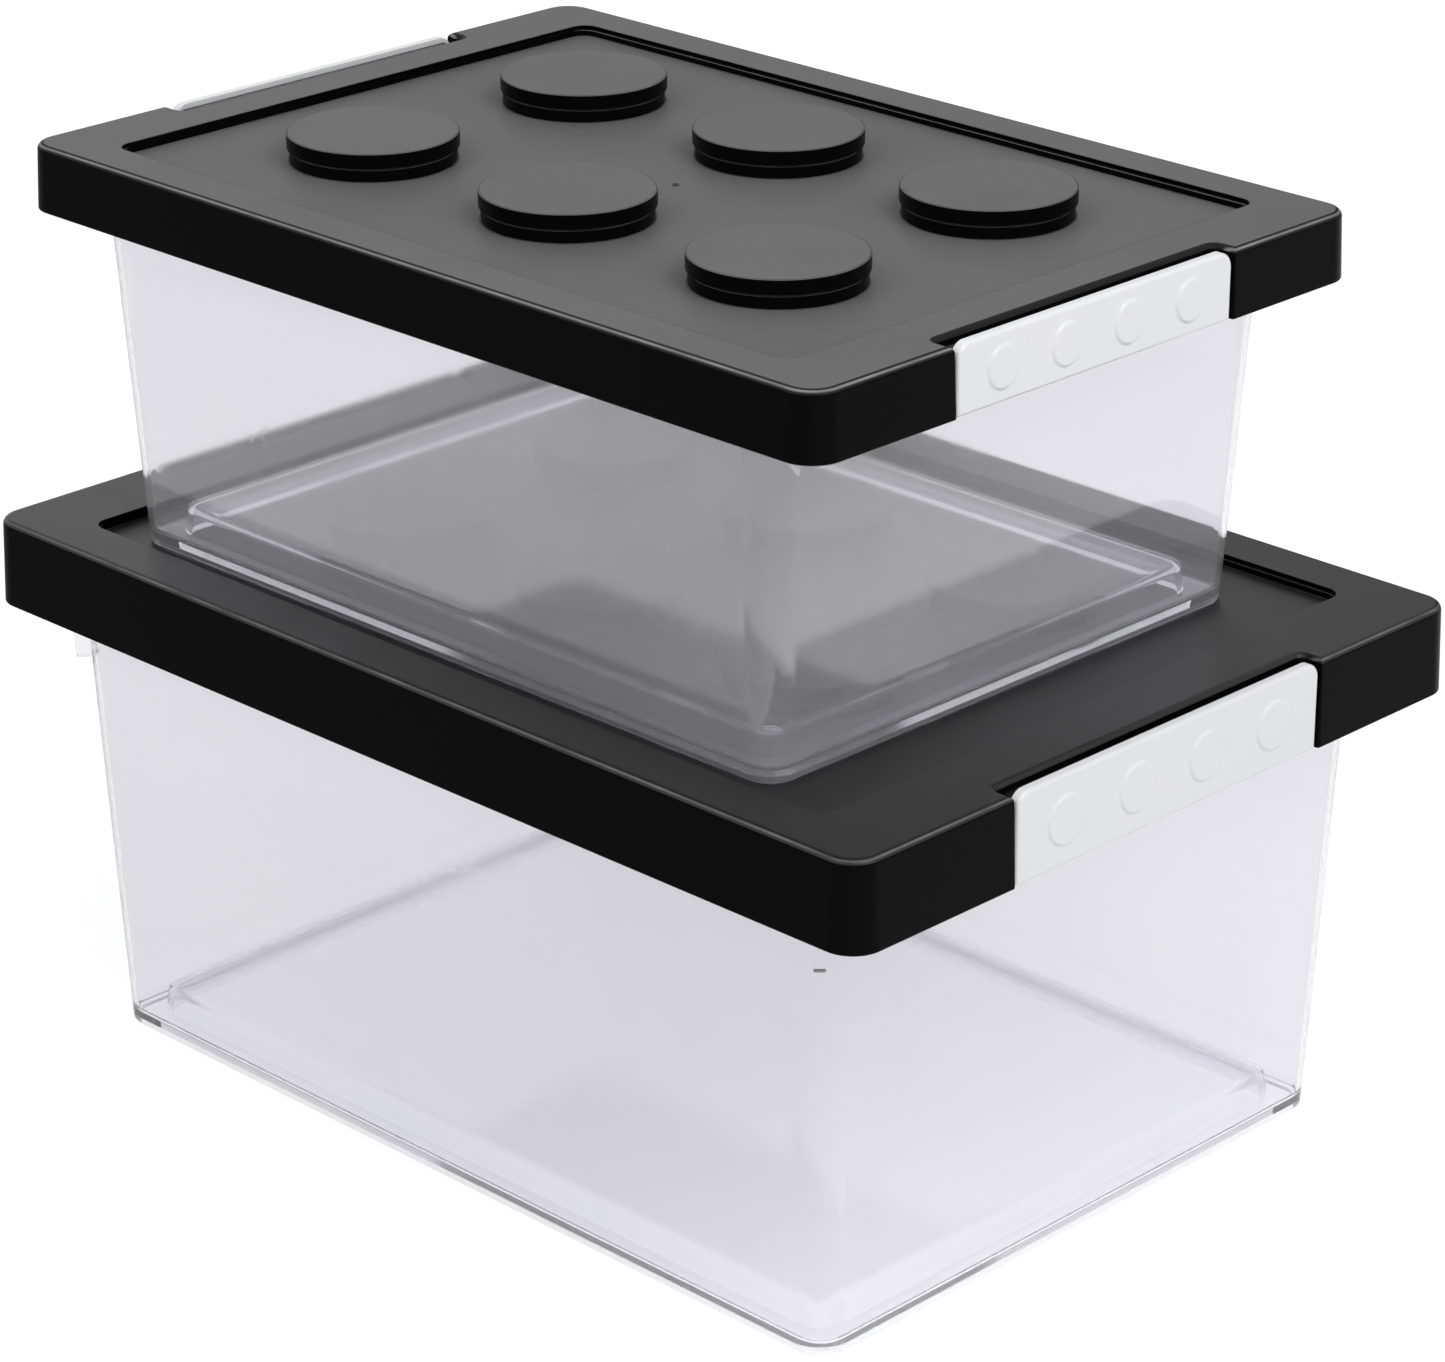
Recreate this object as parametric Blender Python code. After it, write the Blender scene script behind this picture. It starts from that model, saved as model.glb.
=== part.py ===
"""Two stacking storage boxes with studded lids.

Each box is a clear tapered bin, a black lid with round studs in a shallow recess, and a white
latch hinged at each short end of the bin.  The smaller box stands in the lid recess of the
larger one.

Metres, +Z up.  X is the long axis, the origin is on the floor at the middle of the larger box.
"""
import math
from types import SimpleNamespace

import bmesh
import bpy
from mathutils import Vector

# The larger box, which stands on the floor.  Insets and tapers count on each side.
LOWER_LENGTH = 0.420
LOWER_WIDTH = 0.299
LOWER_HEIGHT = 0.194
LOWER_SKIRT_HEIGHT = 0.0315
LOWER_RECESS_INSET_X = 0.0325
LOWER_RECESS_INSET_Y = 0.021
LOWER_RIM_INSET_X = 0.0265
LOWER_RIM_INSET_Y = 0.0125
LOWER_TAPER_X = 0.0065
LOWER_TAPER_Y = 0.010
LOWER_LATCH_WIDTH = 0.150
LOWER_DISC_DIAMETER = 0.0185
LOWER_DISC_PITCH = 0.0345
LOWER_GUSSET_DROP = 0.043

# The smaller box.  Its foot follows the recess that it stands in, and its lid follows its foot.
UPPER_FOOT_PLAY_X = 0.023
UPPER_FOOT_PLAY_Y = 0.0152
UPPER_TAPER_X = 0.007
UPPER_TAPER_Y = 0.008
UPPER_RIM_INSET_X = 0.0255
UPPER_RIM_INSET_Y = 0.0087
UPPER_HEIGHT = 0.1417
UPPER_SKIRT_HEIGHT = 0.0235
UPPER_RECESS_INSET_X = 0.028
UPPER_RECESS_INSET_Y = 0.0185
UPPER_LATCH_WIDTH = 0.131
UPPER_DISC_DIAMETER = 0.0158
UPPER_DISC_PITCH = 0.0299
UPPER_GUSSET_DROP = 0.010

# Where the smaller box stands: a little off centre, within the play that the recess leaves.
STACK_SHIFT_X = -0.0076
STACK_SHIFT_Y = -0.0067

# Lids.
LID_WALL = 0.0022
LID_CORNER_RADIUS = 0.0115
LID_EDGE_RADIUS = 0.002
SKIRT_FLARE = 0.0008
RECESS_DEPTH = 0.004
RECESS_CORNER_RADIUS = 0.006
RECESS_LEDGE = 0.0009
RECESS_LEDGE_SHARE = 0.45
SEAT_RIB_THICKNESS = 0.002
SEAT_RIB_SPACING = 0.002
GATE_MARK_RADIUS = 0.0013
GATE_MARK_HEIGHT = 0.0004

# Studs, alike on both lids: a disc on a slightly narrower collar, hollow underneath.  Their size
# is a share of the half length and half width of the hollow under the smaller bin, and the outer
# ones keep this room to its walls.
STUD_SIZE_SHARE = 0.2448
STUD_ROOM_X = 0.0161
STUD_ROOM_Y = 0.0208
STUD_HEIGHT = 0.010
STUD_COLLAR_SHARE = 0.46
STUD_COLLAR_INSET = 0.0008
STUD_EDGE_CHAMFER = 0.0007
STUD_COLUMN_COUNT = 3
STUD_ROW_COUNT = 2

# Bins.
BIN_WALL = 0.002
FLOOR_THICKNESS = 0.0022
FOOT_HEIGHT = 0.0016
FOOT_RING_WIDTH = 0.003
FOOT_CORNER_RADIUS = 0.0105
FOOT_EDGE_RADIUS = 0.0012
RIM_CORNER_RADIUS = 0.014
RIM_THICKNESS = 0.0022
RIM_LIP_HEIGHT = 0.006
RIM_LIP_THICKNESS = 0.0016
PLATEAU_MARGIN = 0.010
PLATEAU_CORNER_RADIUS = 0.008
PLATEAU_DRAFT = 0.001
FLOOR_FILLET = 0.003
GUSSET_THICKNESS = 0.0038
GUSSET_REACH = 0.0055

# Latches, their notch in the lid and their hinges on the bin.
NOTCH_DEPTH = 0.009
NOTCH_WALL = 0.002
LATCH_FACE_WALL = 0.002
LATCH_DEPTH = 0.0045
LATCH_RIM_WALL = 0.002
LATCH_CORNER_RADIUS = 0.0055
DISC_HEIGHT = 0.0008
DISC_COUNT = 4
CATCH_THICKNESS = 0.0026
CATCH_END_INSET = 0.004
PIVOT_INSET = 0.0085
PIVOT_RISE = 0.007
PIN_RADIUS = 0.002
EAR_RADIUS = 0.0036
EAR_THICKNESS = 0.003
LUG_RADIUS = 0.0038
LUG_THICKNESS = 0.004
LUG_ROOT_DEPTH = 0.004
LUG_PLACE_SHARE = 0.36
NOSE_START_ANGLE = 50
NOSE_END_ANGLE = -125

# Clearances.
SEAT_GAP = 0.0003
SIDE_GAP = 0.0006
PIN_CLEARANCE = 0.0003
RIM_CLEARANCE = 0.0008
NEST_CLEARANCE = 0.001
WALL_OFFSET = 0.0002
OVERRUN = 0.004

# Facets.
CORNER_STEPS = 5
EDGE_STEPS = 3
STUD_SIDES = 38
DISC_SIDES = 20
SMALL_SIDES = 14
NOSE_STEPS = 7
SHARP_ANGLE = math.radians(35)


def clear_scene():
    """Start from an empty file."""
    for item in list(bpy.data.objects):
        bpy.data.objects.remove(item)


def finish_material(name, colour, roughness, alpha=1.0):
    """A Principled material for one moulded plastic."""
    material = bpy.data.materials.new(name)
    material.use_nodes = True
    shader = material.node_tree.nodes["Principled BSDF"]
    shader.inputs["Base Color"].default_value = (*colour, 1.0)
    shader.inputs["Roughness"].default_value = roughness
    shader.inputs["Metallic"].default_value = 0.0
    shader.inputs["Alpha"].default_value = alpha
    return material


def object_from(name, bm):
    """Turn a bmesh into a named object, with every face looking outward."""
    bmesh.ops.recalc_face_normals(bm, faces=bm.faces)
    if bm.calc_volume(signed=True) < 0:
        bmesh.ops.reverse_faces(bm, faces=bm.faces)
    mesh = bpy.data.meshes.new(name)
    bm.to_mesh(mesh)
    bm.free()
    item = bpy.data.objects.new(name, mesh)
    bpy.context.scene.collection.objects.link(item)
    return item


def combine(base, tool, operation):
    """Join or cut a body with another one, and take the other one away."""
    boolean = base.modifiers.new(tool.name, "BOOLEAN")
    boolean.operation = operation
    boolean.solver = "EXACT"
    boolean.object = tool
    bpy.context.view_layer.update()
    shaped = base.evaluated_get(bpy.context.evaluated_depsgraph_get())
    mesh = bpy.data.meshes.new_from_object(shaped)
    base.modifiers.clear()
    base.data = mesh
    bpy.data.objects.remove(tool)


def rounded_loop(half_x, half_y, radius, z):
    """The points of a rounded rectangle at height z, counter-clockwise from above."""
    points = []
    for quarter, (sign_x, sign_y) in enumerate(((1, 1), (-1, 1), (-1, -1), (1, -1))):
        centre_x = sign_x * (half_x - radius)
        centre_y = sign_y * (half_y - radius)
        for step in range(CORNER_STEPS + 1):
            turn = math.radians(90) * (quarter + step / CORNER_STEPS)
            points.append((centre_x + radius * math.cos(turn), centre_y + radius * math.sin(turn), z))
    return points


def widened(ring, extra, z):
    """The same rounded rectangle made wider all round, at another height."""
    return ring[0] + extra, ring[1] + extra, ring[2] + extra, z


def lofted(name, rings):
    """A closed body through rounded rectangles, given as half length, half width, radius and height."""
    bm = bmesh.new()
    loops = [[bm.verts.new(point) for point in rounded_loop(*ring)] for ring in rings]
    for lower, upper in zip(loops, loops[1:]):
        for index, vertex in enumerate(lower):
            after = (index + 1) % len(lower)
            bm.faces.new((vertex, lower[after], upper[after], upper[index]))
    bm.faces.new(loops[0])
    bm.faces.new(loops[-1])
    return object_from(name, bm)


def circle(centre, radius, z, sides):
    """The points of a level circle."""
    x, y = centre
    turns = [math.tau * step / sides for step in range(sides)]
    return [(x + radius * math.cos(turn), y + radius * math.sin(turn), z) for turn in turns]


def turned(name, profile, centres, sides):
    """Closed turned bodies, one at each centre, from a profile of radius and height."""
    bm = bmesh.new()
    for centre in centres:
        loops = []
        for radius, z in profile:
            loops.append([bm.verts.new(point) for point in circle(centre, radius, z, sides)])
        for lower, upper in zip(loops, loops[1:]):
            for index, vertex in enumerate(lower):
                after = (index + 1) % sides
                bm.faces.new((vertex, lower[after], upper[after], upper[index]))
        bm.faces.new(loops[0])
        bm.faces.new(loops[-1])
    return object_from(name, bm)


def extruded(name, outlines, start, end):
    """Closed prisms: each outline is a list of 3-D points, carried from start to end along an axis."""
    bm = bmesh.new()
    for outline in outlines:
        near = [bm.verts.new(Vector(point) + Vector(start)) for point in outline]
        far = [bm.verts.new(Vector(point) + Vector(end)) for point in outline]
        for index, vertex in enumerate(near):
            after = (index + 1) % len(near)
            bm.faces.new((vertex, near[after], far[after], far[index]))
        bm.faces.new(near)
        bm.faces.new(far)
    return object_from(name, bm)


def blocks(name, extents):
    """Rectangular blocks, each given as its low corner and its high corner."""
    bm = bmesh.new()
    for low, high in extents:
        low, high = Vector(low), Vector(high)
        cube = bmesh.ops.create_cube(bm, size=1.0)["verts"]
        bmesh.ops.scale(bm, vec=high - low, verts=cube)
        bmesh.ops.translate(bm, vec=(low + high) / 2, verts=cube)
    return object_from(name, bm)


def arc(centre, radius, first, last, steps):
    """Points of an arc in a plane, from one angle to another in degrees."""
    x, y = centre
    turns = [math.radians(first + (last - first) * step / steps) for step in range(steps + 1)]
    return [(x + radius * math.cos(turn), y + radius * math.sin(turn)) for turn in turns]


def box_sizes(**given):
    """The sizes of one box, with the places that follow from them.  Heights are above its foot."""
    box = SimpleNamespace(**given)
    box.rim_x = box.half_x - box.rim_inset_x
    box.rim_y = box.half_y - box.rim_inset_y
    box.foot_x = box.rim_x - box.taper_x
    box.foot_y = box.rim_y - box.taper_y
    box.skirt_bottom = box.height - box.skirt_height
    box.panel = box.height - RECESS_DEPTH
    box.seat = box.panel - LID_WALL
    box.rim_top = box.seat - SEAT_GAP
    box.recess_x = box.half_x - box.recess_inset_x
    box.recess_y = box.half_y - box.recess_inset_y
    box.latch_half = box.latch_width / 2
    box.notch_half = box.latch_half + SIDE_GAP
    box.notch_x = box.half_x - NOTCH_DEPTH
    box.pivot_x = box.half_x - PIVOT_INSET
    box.pivot_z = box.skirt_bottom + PIVOT_RISE
    box.flange_x = box.notch_x - WALL_OFFSET - NOTCH_WALL - SIDE_GAP
    box.flange_y = box.half_y - LID_WALL - SKIRT_FLARE - RIM_CLEARANCE
    box.lug_places = (-LUG_PLACE_SHARE * box.latch_width, LUG_PLACE_SHARE * box.latch_width)
    return box


LOWER = box_sizes(
    half_x=LOWER_LENGTH / 2, half_y=LOWER_WIDTH / 2,
    height=LOWER_HEIGHT, skirt_height=LOWER_SKIRT_HEIGHT,
    recess_inset_x=LOWER_RECESS_INSET_X, recess_inset_y=LOWER_RECESS_INSET_Y,
    rim_inset_x=LOWER_RIM_INSET_X, rim_inset_y=LOWER_RIM_INSET_Y,
    taper_x=LOWER_TAPER_X, taper_y=LOWER_TAPER_Y, latch_width=LOWER_LATCH_WIDTH,
    disc_diameter=LOWER_DISC_DIAMETER, disc_pitch=LOWER_DISC_PITCH, gusset_drop=LOWER_GUSSET_DROP)

UPPER = box_sizes(
    half_x=LOWER.recess_x - UPPER_FOOT_PLAY_X + UPPER_TAPER_X + UPPER_RIM_INSET_X,
    half_y=LOWER.recess_y - UPPER_FOOT_PLAY_Y + UPPER_TAPER_Y + UPPER_RIM_INSET_Y,
    height=UPPER_HEIGHT, skirt_height=UPPER_SKIRT_HEIGHT,
    recess_inset_x=UPPER_RECESS_INSET_X, recess_inset_y=UPPER_RECESS_INSET_Y,
    rim_inset_x=UPPER_RIM_INSET_X, rim_inset_y=UPPER_RIM_INSET_Y,
    taper_x=UPPER_TAPER_X, taper_y=UPPER_TAPER_Y, latch_width=UPPER_LATCH_WIDTH,
    disc_diameter=UPPER_DISC_DIAMETER, disc_pitch=UPPER_DISC_PITCH, gusset_drop=UPPER_GUSSET_DROP)

# The hollow under the smaller bin, from its middle to its walls, and the studs that it takes.
NEST_INSET = PLATEAU_MARGIN + BIN_WALL + PLATEAU_DRAFT
NEST_X = UPPER.foot_x - NEST_INSET
NEST_Y = UPPER.foot_y - NEST_INSET
STUD_RADIUS = STUD_SIZE_SHARE * (NEST_X + NEST_Y) / 2
STUD_REACH_X = NEST_X - STUD_ROOM_X - STUD_RADIUS
STUD_REACH_Y = NEST_Y - STUD_ROOM_Y - STUD_RADIUS

# The smaller box's foot stands just above the recessed panel of the larger one's lid.
LOWER_PLACE = Vector((0, 0, 0))
UPPER_PLACE = Vector((STACK_SHIFT_X, STACK_SHIFT_Y, LOWER.panel + SEAT_GAP))


def spread(reach, count):
    """Even steps from minus the reach to plus the reach."""
    return [reach * (2 * index / (count - 1) - 1) for index in range(count)]


def stud_centres():
    """The studs' centres: a grid about the middle of the lid."""
    columns = spread(STUD_REACH_X, STUD_COLUMN_COUNT)
    rows = spread(STUD_REACH_Y, STUD_ROW_COUNT)
    return [(x, y) for x in columns for y in rows]


def lid_shell(name, box):
    """The lid's skirt, raised border and recessed panel, with the seat rib under the border."""
    top = box.height
    underside = top - LID_WALL
    ledge_z = top - RECESS_DEPTH * RECESS_LEDGE_SHARE
    upper_x = box.half_x - SKIRT_FLARE
    upper_y = box.half_y - SKIRT_FLARE
    inner_radius = LID_CORNER_RADIUS - LID_WALL
    rib_x = box.recess_x + LID_WALL + SEAT_RIB_SPACING
    rib_y = box.rim_y - SEAT_RIB_THICKNESS
    recess_radius = RECESS_CORNER_RADIUS
    recess = (box.recess_x, box.recess_y, recess_radius, top)
    rings = [
        widened(recess, -RECESS_LEDGE, box.panel),
        widened(recess, -RECESS_LEDGE, ledge_z),
        widened(recess, 0, ledge_z),
        recess]
    for inset, drop in arc((LID_EDGE_RADIUS, LID_EDGE_RADIUS), LID_EDGE_RADIUS, 270, 180, EDGE_STEPS):
        rings.append((upper_x - inset, upper_y - inset, LID_CORNER_RADIUS - inset, top - drop))
    rings += [
        (box.half_x, box.half_y, LID_CORNER_RADIUS, box.skirt_bottom),
        (box.half_x - LID_WALL, box.half_y - LID_WALL, inner_radius, box.skirt_bottom),
        (upper_x - LID_WALL, upper_y - LID_WALL, inner_radius, underside),
        (rib_x + SEAT_RIB_THICKNESS, rib_y + SEAT_RIB_THICKNESS, inner_radius, underside),
        (rib_x + SEAT_RIB_THICKNESS, rib_y + SEAT_RIB_THICKNESS, inner_radius, box.seat),
        (rib_x, rib_y, inner_radius - SEAT_RIB_THICKNESS, box.seat),
        (rib_x, rib_y, inner_radius - SEAT_RIB_THICKNESS, underside),
        widened(recess, LID_WALL, underside),
        widened(recess, LID_WALL, box.seat)]
    return lofted(name, rings)


def add_studs(lid, box):
    """Studs on the panel, each a disc on a narrower collar, and the mark of the mould's gate."""
    collar_radius = STUD_RADIUS - STUD_COLLAR_INSET
    collar_top = box.panel + STUD_HEIGHT * STUD_COLLAR_SHARE
    root = box.panel - LID_WALL / 2
    crown = box.panel + STUD_HEIGHT
    profile = [(collar_radius, root), (collar_radius, collar_top), (STUD_RADIUS, collar_top)]
    profile += [(STUD_RADIUS, crown - STUD_EDGE_CHAMFER), (STUD_RADIUS - STUD_EDGE_CHAMFER, crown)]
    combine(lid, turned("stud_bodies", profile, stud_centres(), STUD_SIDES), "UNION")
    hollow_radius = collar_radius - LID_WALL
    hollow = [(hollow_radius, box.seat - OVERRUN), (hollow_radius, crown - LID_WALL)]
    combine(lid, turned("stud_hollows", hollow, stud_centres(), STUD_SIDES), "DIFFERENCE")
    mark = [(GATE_MARK_RADIUS, root), (GATE_MARK_RADIUS, box.panel)]
    mark.append((GATE_MARK_RADIUS / 2, box.panel + GATE_MARK_HEIGHT))
    combine(lid, turned("gate_mark", mark, [(0, 0)], SMALL_SIDES), "UNION")


def both_ends(extents):
    """The same blocks at the +X end and, mirrored, at the -X end."""
    mirrored = [((-high[0], low[1], low[2]), (-low[0], high[1], high[2])) for low, high in extents]
    return extents + mirrored


def add_notches(lid, box):
    """A notch in each short side of the skirt, lined with walls and a ledge for the latch's lip."""
    top = box.height
    inside_plate = top - LID_WALL / 2
    wall_face = box.notch_x - WALL_OFFSET
    wall_back = wall_face - NOTCH_WALL
    side_face = box.notch_half + WALL_OFFSET
    side_back = side_face + NOTCH_WALL
    notch = [((box.notch_x, -box.notch_half, box.skirt_bottom - OVERRUN),
              (box.half_x + OVERRUN, box.notch_half, top + OVERRUN))]
    combine(lid, blocks("notches", both_ends(notch)), "DIFFERENCE")
    returns = []
    for low_y, high_y in ((-side_back, -side_face), (side_face, side_back)):
        returns.append(((wall_back, low_y, box.skirt_bottom + WALL_OFFSET),
                        (box.half_x - SKIRT_FLARE - LID_WALL / 2, high_y, inside_plate)))
    combine(lid, blocks("notch_returns", both_ends(returns)), "UNION")
    wall = [((wall_back + WALL_OFFSET, -side_back + NOTCH_WALL / 2, box.seat),
             (wall_face, side_back - NOTCH_WALL / 2, inside_plate))]
    combine(lid, blocks("notch_walls", both_ends(wall)), "UNION")
    catch_half = box.notch_half - CATCH_END_INSET
    catch_z = box.seat + WALL_OFFSET
    catch = [((wall_face - NOTCH_WALL / 2, -catch_half, catch_z),
              (box.half_x - LATCH_DEPTH - SEAT_GAP, catch_half, catch_z + CATCH_THICKNESS))]
    combine(lid, blocks("catch_ledges", both_ends(catch)), "UNION")


def make_lid(name, box, place, material):
    """A whole lid, standing at its place in the stack."""
    lid = lid_shell(name, box)
    add_studs(lid, box)
    add_notches(lid, box)
    settle(lid, place, material)
    return lid


def wall_half(box, z, inset=0.0):
    """Half length, half width and corner radius of the bin's tapering wall at height z."""
    share = z / box.rim_top
    half_x = box.foot_x + box.taper_x * share
    half_y = box.foot_y + box.taper_y * share
    radius = FOOT_CORNER_RADIUS + (RIM_CORNER_RADIUS - FOOT_CORNER_RADIUS) * share
    return half_x - inset, half_y - inset, radius - inset, z


def bin_shell(name, box):
    """The bin: foot ring, raised floor that clears the studs below, tapered walls and rim."""
    plateau_under = SEAT_GAP + STUD_HEIGHT + NEST_CLEARANCE
    plateau_top = plateau_under + FLOOR_THICKNESS
    trough_top = FOOT_HEIGHT + FLOOR_THICKNESS
    rim_under = box.rim_top - RIM_THICKNESS
    foot = wall_half(box, 0)
    plateau = (foot[0] - PLATEAU_MARGIN, foot[1] - PLATEAU_MARGIN, PLATEAU_CORNER_RADIUS, trough_top)
    lip_x = box.flange_x - RIM_LIP_THICKNESS
    lip_y = box.flange_y - RIM_LIP_THICKNESS
    lip_z = box.rim_top - RIM_LIP_HEIGHT
    corner = RIM_CORNER_RADIUS
    rings = [
        widened(plateau, -BIN_WALL - PLATEAU_DRAFT, plateau_under),
        widened(plateau, -BIN_WALL, FOOT_HEIGHT),
        widened(foot, -FOOT_RING_WIDTH, FOOT_HEIGHT),
        widened(foot, -FOOT_RING_WIDTH, 0),
        widened(foot, -FOOT_EDGE_RADIUS, 0),
        wall_half(box, FOOT_EDGE_RADIUS),
        wall_half(box, rim_under),
        (lip_x, lip_y, corner, rim_under),
        (lip_x, lip_y, corner, lip_z),
        (box.flange_x, box.flange_y, corner + RIM_LIP_THICKNESS, lip_z),
        (box.flange_x, box.flange_y, corner + RIM_LIP_THICKNESS, box.rim_top),
        wall_half(box, box.rim_top, BIN_WALL)]
    for inset, rise in arc((FLOOR_FILLET, FLOOR_FILLET), FLOOR_FILLET, 180, 270, EDGE_STEPS):
        rings.append(wall_half(box, trough_top + rise, BIN_WALL + inset))
    rings += [
        plateau,
        widened(plateau, -PLATEAU_DRAFT, plateau_top)]
    return lofted(name, rings)


def lug_outline(box, sign):
    """Side view of one hinge lug: a round nose about the pin, with a web up to the rim."""
    rim_middle = box.rim_top - RIM_THICKNESS / 2
    root_x = wall_half(box, rim_middle, BIN_WALL / 2)[0]
    root_z = box.rim_top - RIM_THICKNESS - LUG_ROOT_DEPTH
    nose = arc((box.pivot_x, box.pivot_z), LUG_RADIUS, NOSE_START_ANGLE, NOSE_END_ANGLE, NOSE_STEPS)
    outline = [(root_x, rim_middle), (box.flange_x - RIM_LIP_THICKNESS / 2, rim_middle)]
    outline += nose + [(root_x, root_z)]
    return [(sign * x, 0, z) for x, z in outline]


def add_hinge_lugs(bin_body, box):
    """Two lugs at each short end, with holes for the latch's pins."""
    half = LUG_THICKNESS / 2
    for sign in (1, -1):
        hole = [(sign * x, 0, z) for x, z in round_outline(box, PIN_RADIUS + PIN_CLEARANCE)]
        for place in box.lug_places:
            lug = extruded("lug", [lug_outline(box, sign)], (0, place - half, 0), (0, place + half, 0))
            combine(bin_body, lug, "UNION")
            start = (0, place - half - OVERRUN, 0)
            end = (0, place + half + OVERRUN, 0)
            combine(bin_body, extruded("pin_hole", [hole], start, end), "DIFFERENCE")


def round_outline(box, radius):
    """A circle about the latch's hinge line, in side view."""
    return arc((box.pivot_x, box.pivot_z), radius, 0, 360, SMALL_SIDES)[:-1]


def corner_point(box, sign_x, sign_y, z):
    """Where the diagonal of a corner meets the outside of the wall, at height z."""
    half_x, half_y, radius, _ = wall_half(box, z)
    round_in = radius * (1 - math.sqrt(0.5))
    return Vector((sign_x * (half_x - round_in), sign_y * (half_y - round_in), z))


def add_gussets(bin_body, box):
    """A web at each corner that leans with the wall, pointing out along the diagonal."""
    top = box.rim_top - RIM_THICKNESS / 2
    bottom = box.rim_top - box.gusset_drop
    for sign_x, sign_y in ((1, 1), (-1, 1), (-1, -1), (1, -1)):
        outward = Vector((sign_x, sign_y, 0)).normalized()
        across = Vector((-sign_y, sign_x, 0)).normalized() * GUSSET_THICKNESS / 2
        inner = -outward * BIN_WALL / 2
        outer = outward * GUSSET_REACH
        outline = [inner - across, outer - across, outer + across, inner + across]
        low = corner_point(box, sign_x, sign_y, bottom)
        high = corner_point(box, sign_x, sign_y, top)
        combine(bin_body, extruded("gusset", [outline], low, high), "UNION")


def make_bin(name, box, place, material):
    """A whole bin, standing at its place in the stack."""
    bin_body = bin_shell(name, box)
    add_gussets(bin_body, box)
    add_hinge_lugs(bin_body, box)
    settle(bin_body, place, material)
    return bin_body


def latch_outline(half, bottom, top, radius):
    """Front view of the latch plate: round corners at the top, small ones at the bottom."""
    low = radius / 4
    points = arc((half - low, bottom + low), low, -90, 0, EDGE_STEPS)
    points += arc((half - radius, top - radius), radius, 0, 90, CORNER_STEPS)
    points += arc((radius - half, top - radius), radius, 90, 180, CORNER_STEPS)
    points += arc((low - half, bottom + low), low, 180, 270, EDGE_STEPS)
    return [(0, y, z) for y, z in points]


def make_latch(name, box, sign, place, material):
    """A latch for the +X or the -X end, its object's origin on the hinge line."""
    face = box.half_x - SKIRT_FLARE
    back = box.half_x - LATCH_DEPTH
    outline = latch_outline(box.latch_half, box.skirt_bottom, box.height, LATCH_CORNER_RADIUS)
    latch = extruded(name, [outline], (sign * back, 0, 0), (sign * face, 0, 0))
    hollow = latch_outline(box.latch_half - LATCH_RIM_WALL, box.skirt_bottom - OVERRUN,
                           box.height - LATCH_RIM_WALL, LATCH_CORNER_RADIUS - LATCH_RIM_WALL)
    start = (sign * (back - OVERRUN), 0, 0)
    end = (sign * (face - LATCH_FACE_WALL), 0, 0)
    combine(latch, extruded("latch_hollow", [hollow], start, end), "DIFFERENCE")
    add_discs(latch, box, sign, face)
    add_ears(latch, box, sign, face)
    settle(latch, place, material)
    pivot = Vector((sign * box.pivot_x, 0, box.pivot_z))
    move_origin(latch, pivot)
    return latch


def add_discs(latch, box, sign, face):
    """A row of low round discs on the latch's face."""
    middle = (box.skirt_bottom + box.height) / 2
    outlines = []
    for index in range(DISC_COUNT):
        y = (index - (DISC_COUNT - 1) / 2) * box.disc_pitch
        ring = arc((y, middle), box.disc_diameter / 2, 0, 360, DISC_SIDES)[:-1]
        outlines.append([(0, along, z) for along, z in ring])
    start = (sign * (face - LATCH_FACE_WALL / 2), 0, 0)
    end = (sign * (face + DISC_HEIGHT), 0, 0)
    combine(latch, extruded("discs", outlines, start, end), "UNION")


def add_ears(latch, box, sign, face):
    """Ears on both sides of each lug, carrying the pin that passes through it."""
    gap = LUG_THICKNESS / 2 + PIN_CLEARANCE
    root_x = face - LATCH_FACE_WALL / 2
    ear = arc((box.pivot_x, box.pivot_z), EAR_RADIUS, 90, 270, NOSE_STEPS)
    ear += [(root_x, box.pivot_z - EAR_RADIUS), (root_x, box.pivot_z + EAR_RADIUS)]
    outline = [(sign * x, 0, z) for x, z in ear]
    pin = [(sign * x, 0, z) for x, z in round_outline(box, PIN_RADIUS)]
    for place in box.lug_places:
        for low in (place - gap - EAR_THICKNESS, place + gap):
            combine(latch, extruded("ear", [outline], (0, low, 0), (0, low + EAR_THICKNESS, 0)), "UNION")
        reach = gap + EAR_THICKNESS / 2
        combine(latch, extruded("pin", [pin], (0, place - reach, 0), (0, place + reach, 0)), "UNION")


def settle(item, place, material):
    """Give a piece its material and smooth shading, and put it at its place."""
    item.data.materials.clear()
    item.data.materials.append(material)
    item.data.shade_smooth()
    item.data.set_sharp_from_angle(angle=SHARP_ANGLE)
    item.location = place


def move_origin(item, point):
    """Put an object's origin at a point given in its own space, leaving its shape where it is."""
    for vertex in item.data.vertices:
        vertex.co -= point
    item.location = item.location + point


def build():
    """Make both boxes."""
    clear_scene()
    black = finish_material("black_lid_plastic", (0.012, 0.012, 0.013), 0.38)
    white = finish_material("white_latch_plastic", (0.76, 0.77, 0.80), 0.22)
    hazy = finish_material("clear_bin_plastic", (0.80, 0.81, 0.86), 0.10, alpha=0.30)
    for prefix, box, place in (("lower", LOWER, LOWER_PLACE), ("upper", UPPER, UPPER_PLACE)):
        make_bin(prefix + "_bin", box, place, hazy)
        make_lid(prefix + "_lid", box, place, black)
        make_latch(prefix + "_latch_right", box, 1, place, white)
        make_latch(prefix + "_latch_left", box, -1, place, white)


build()
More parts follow.
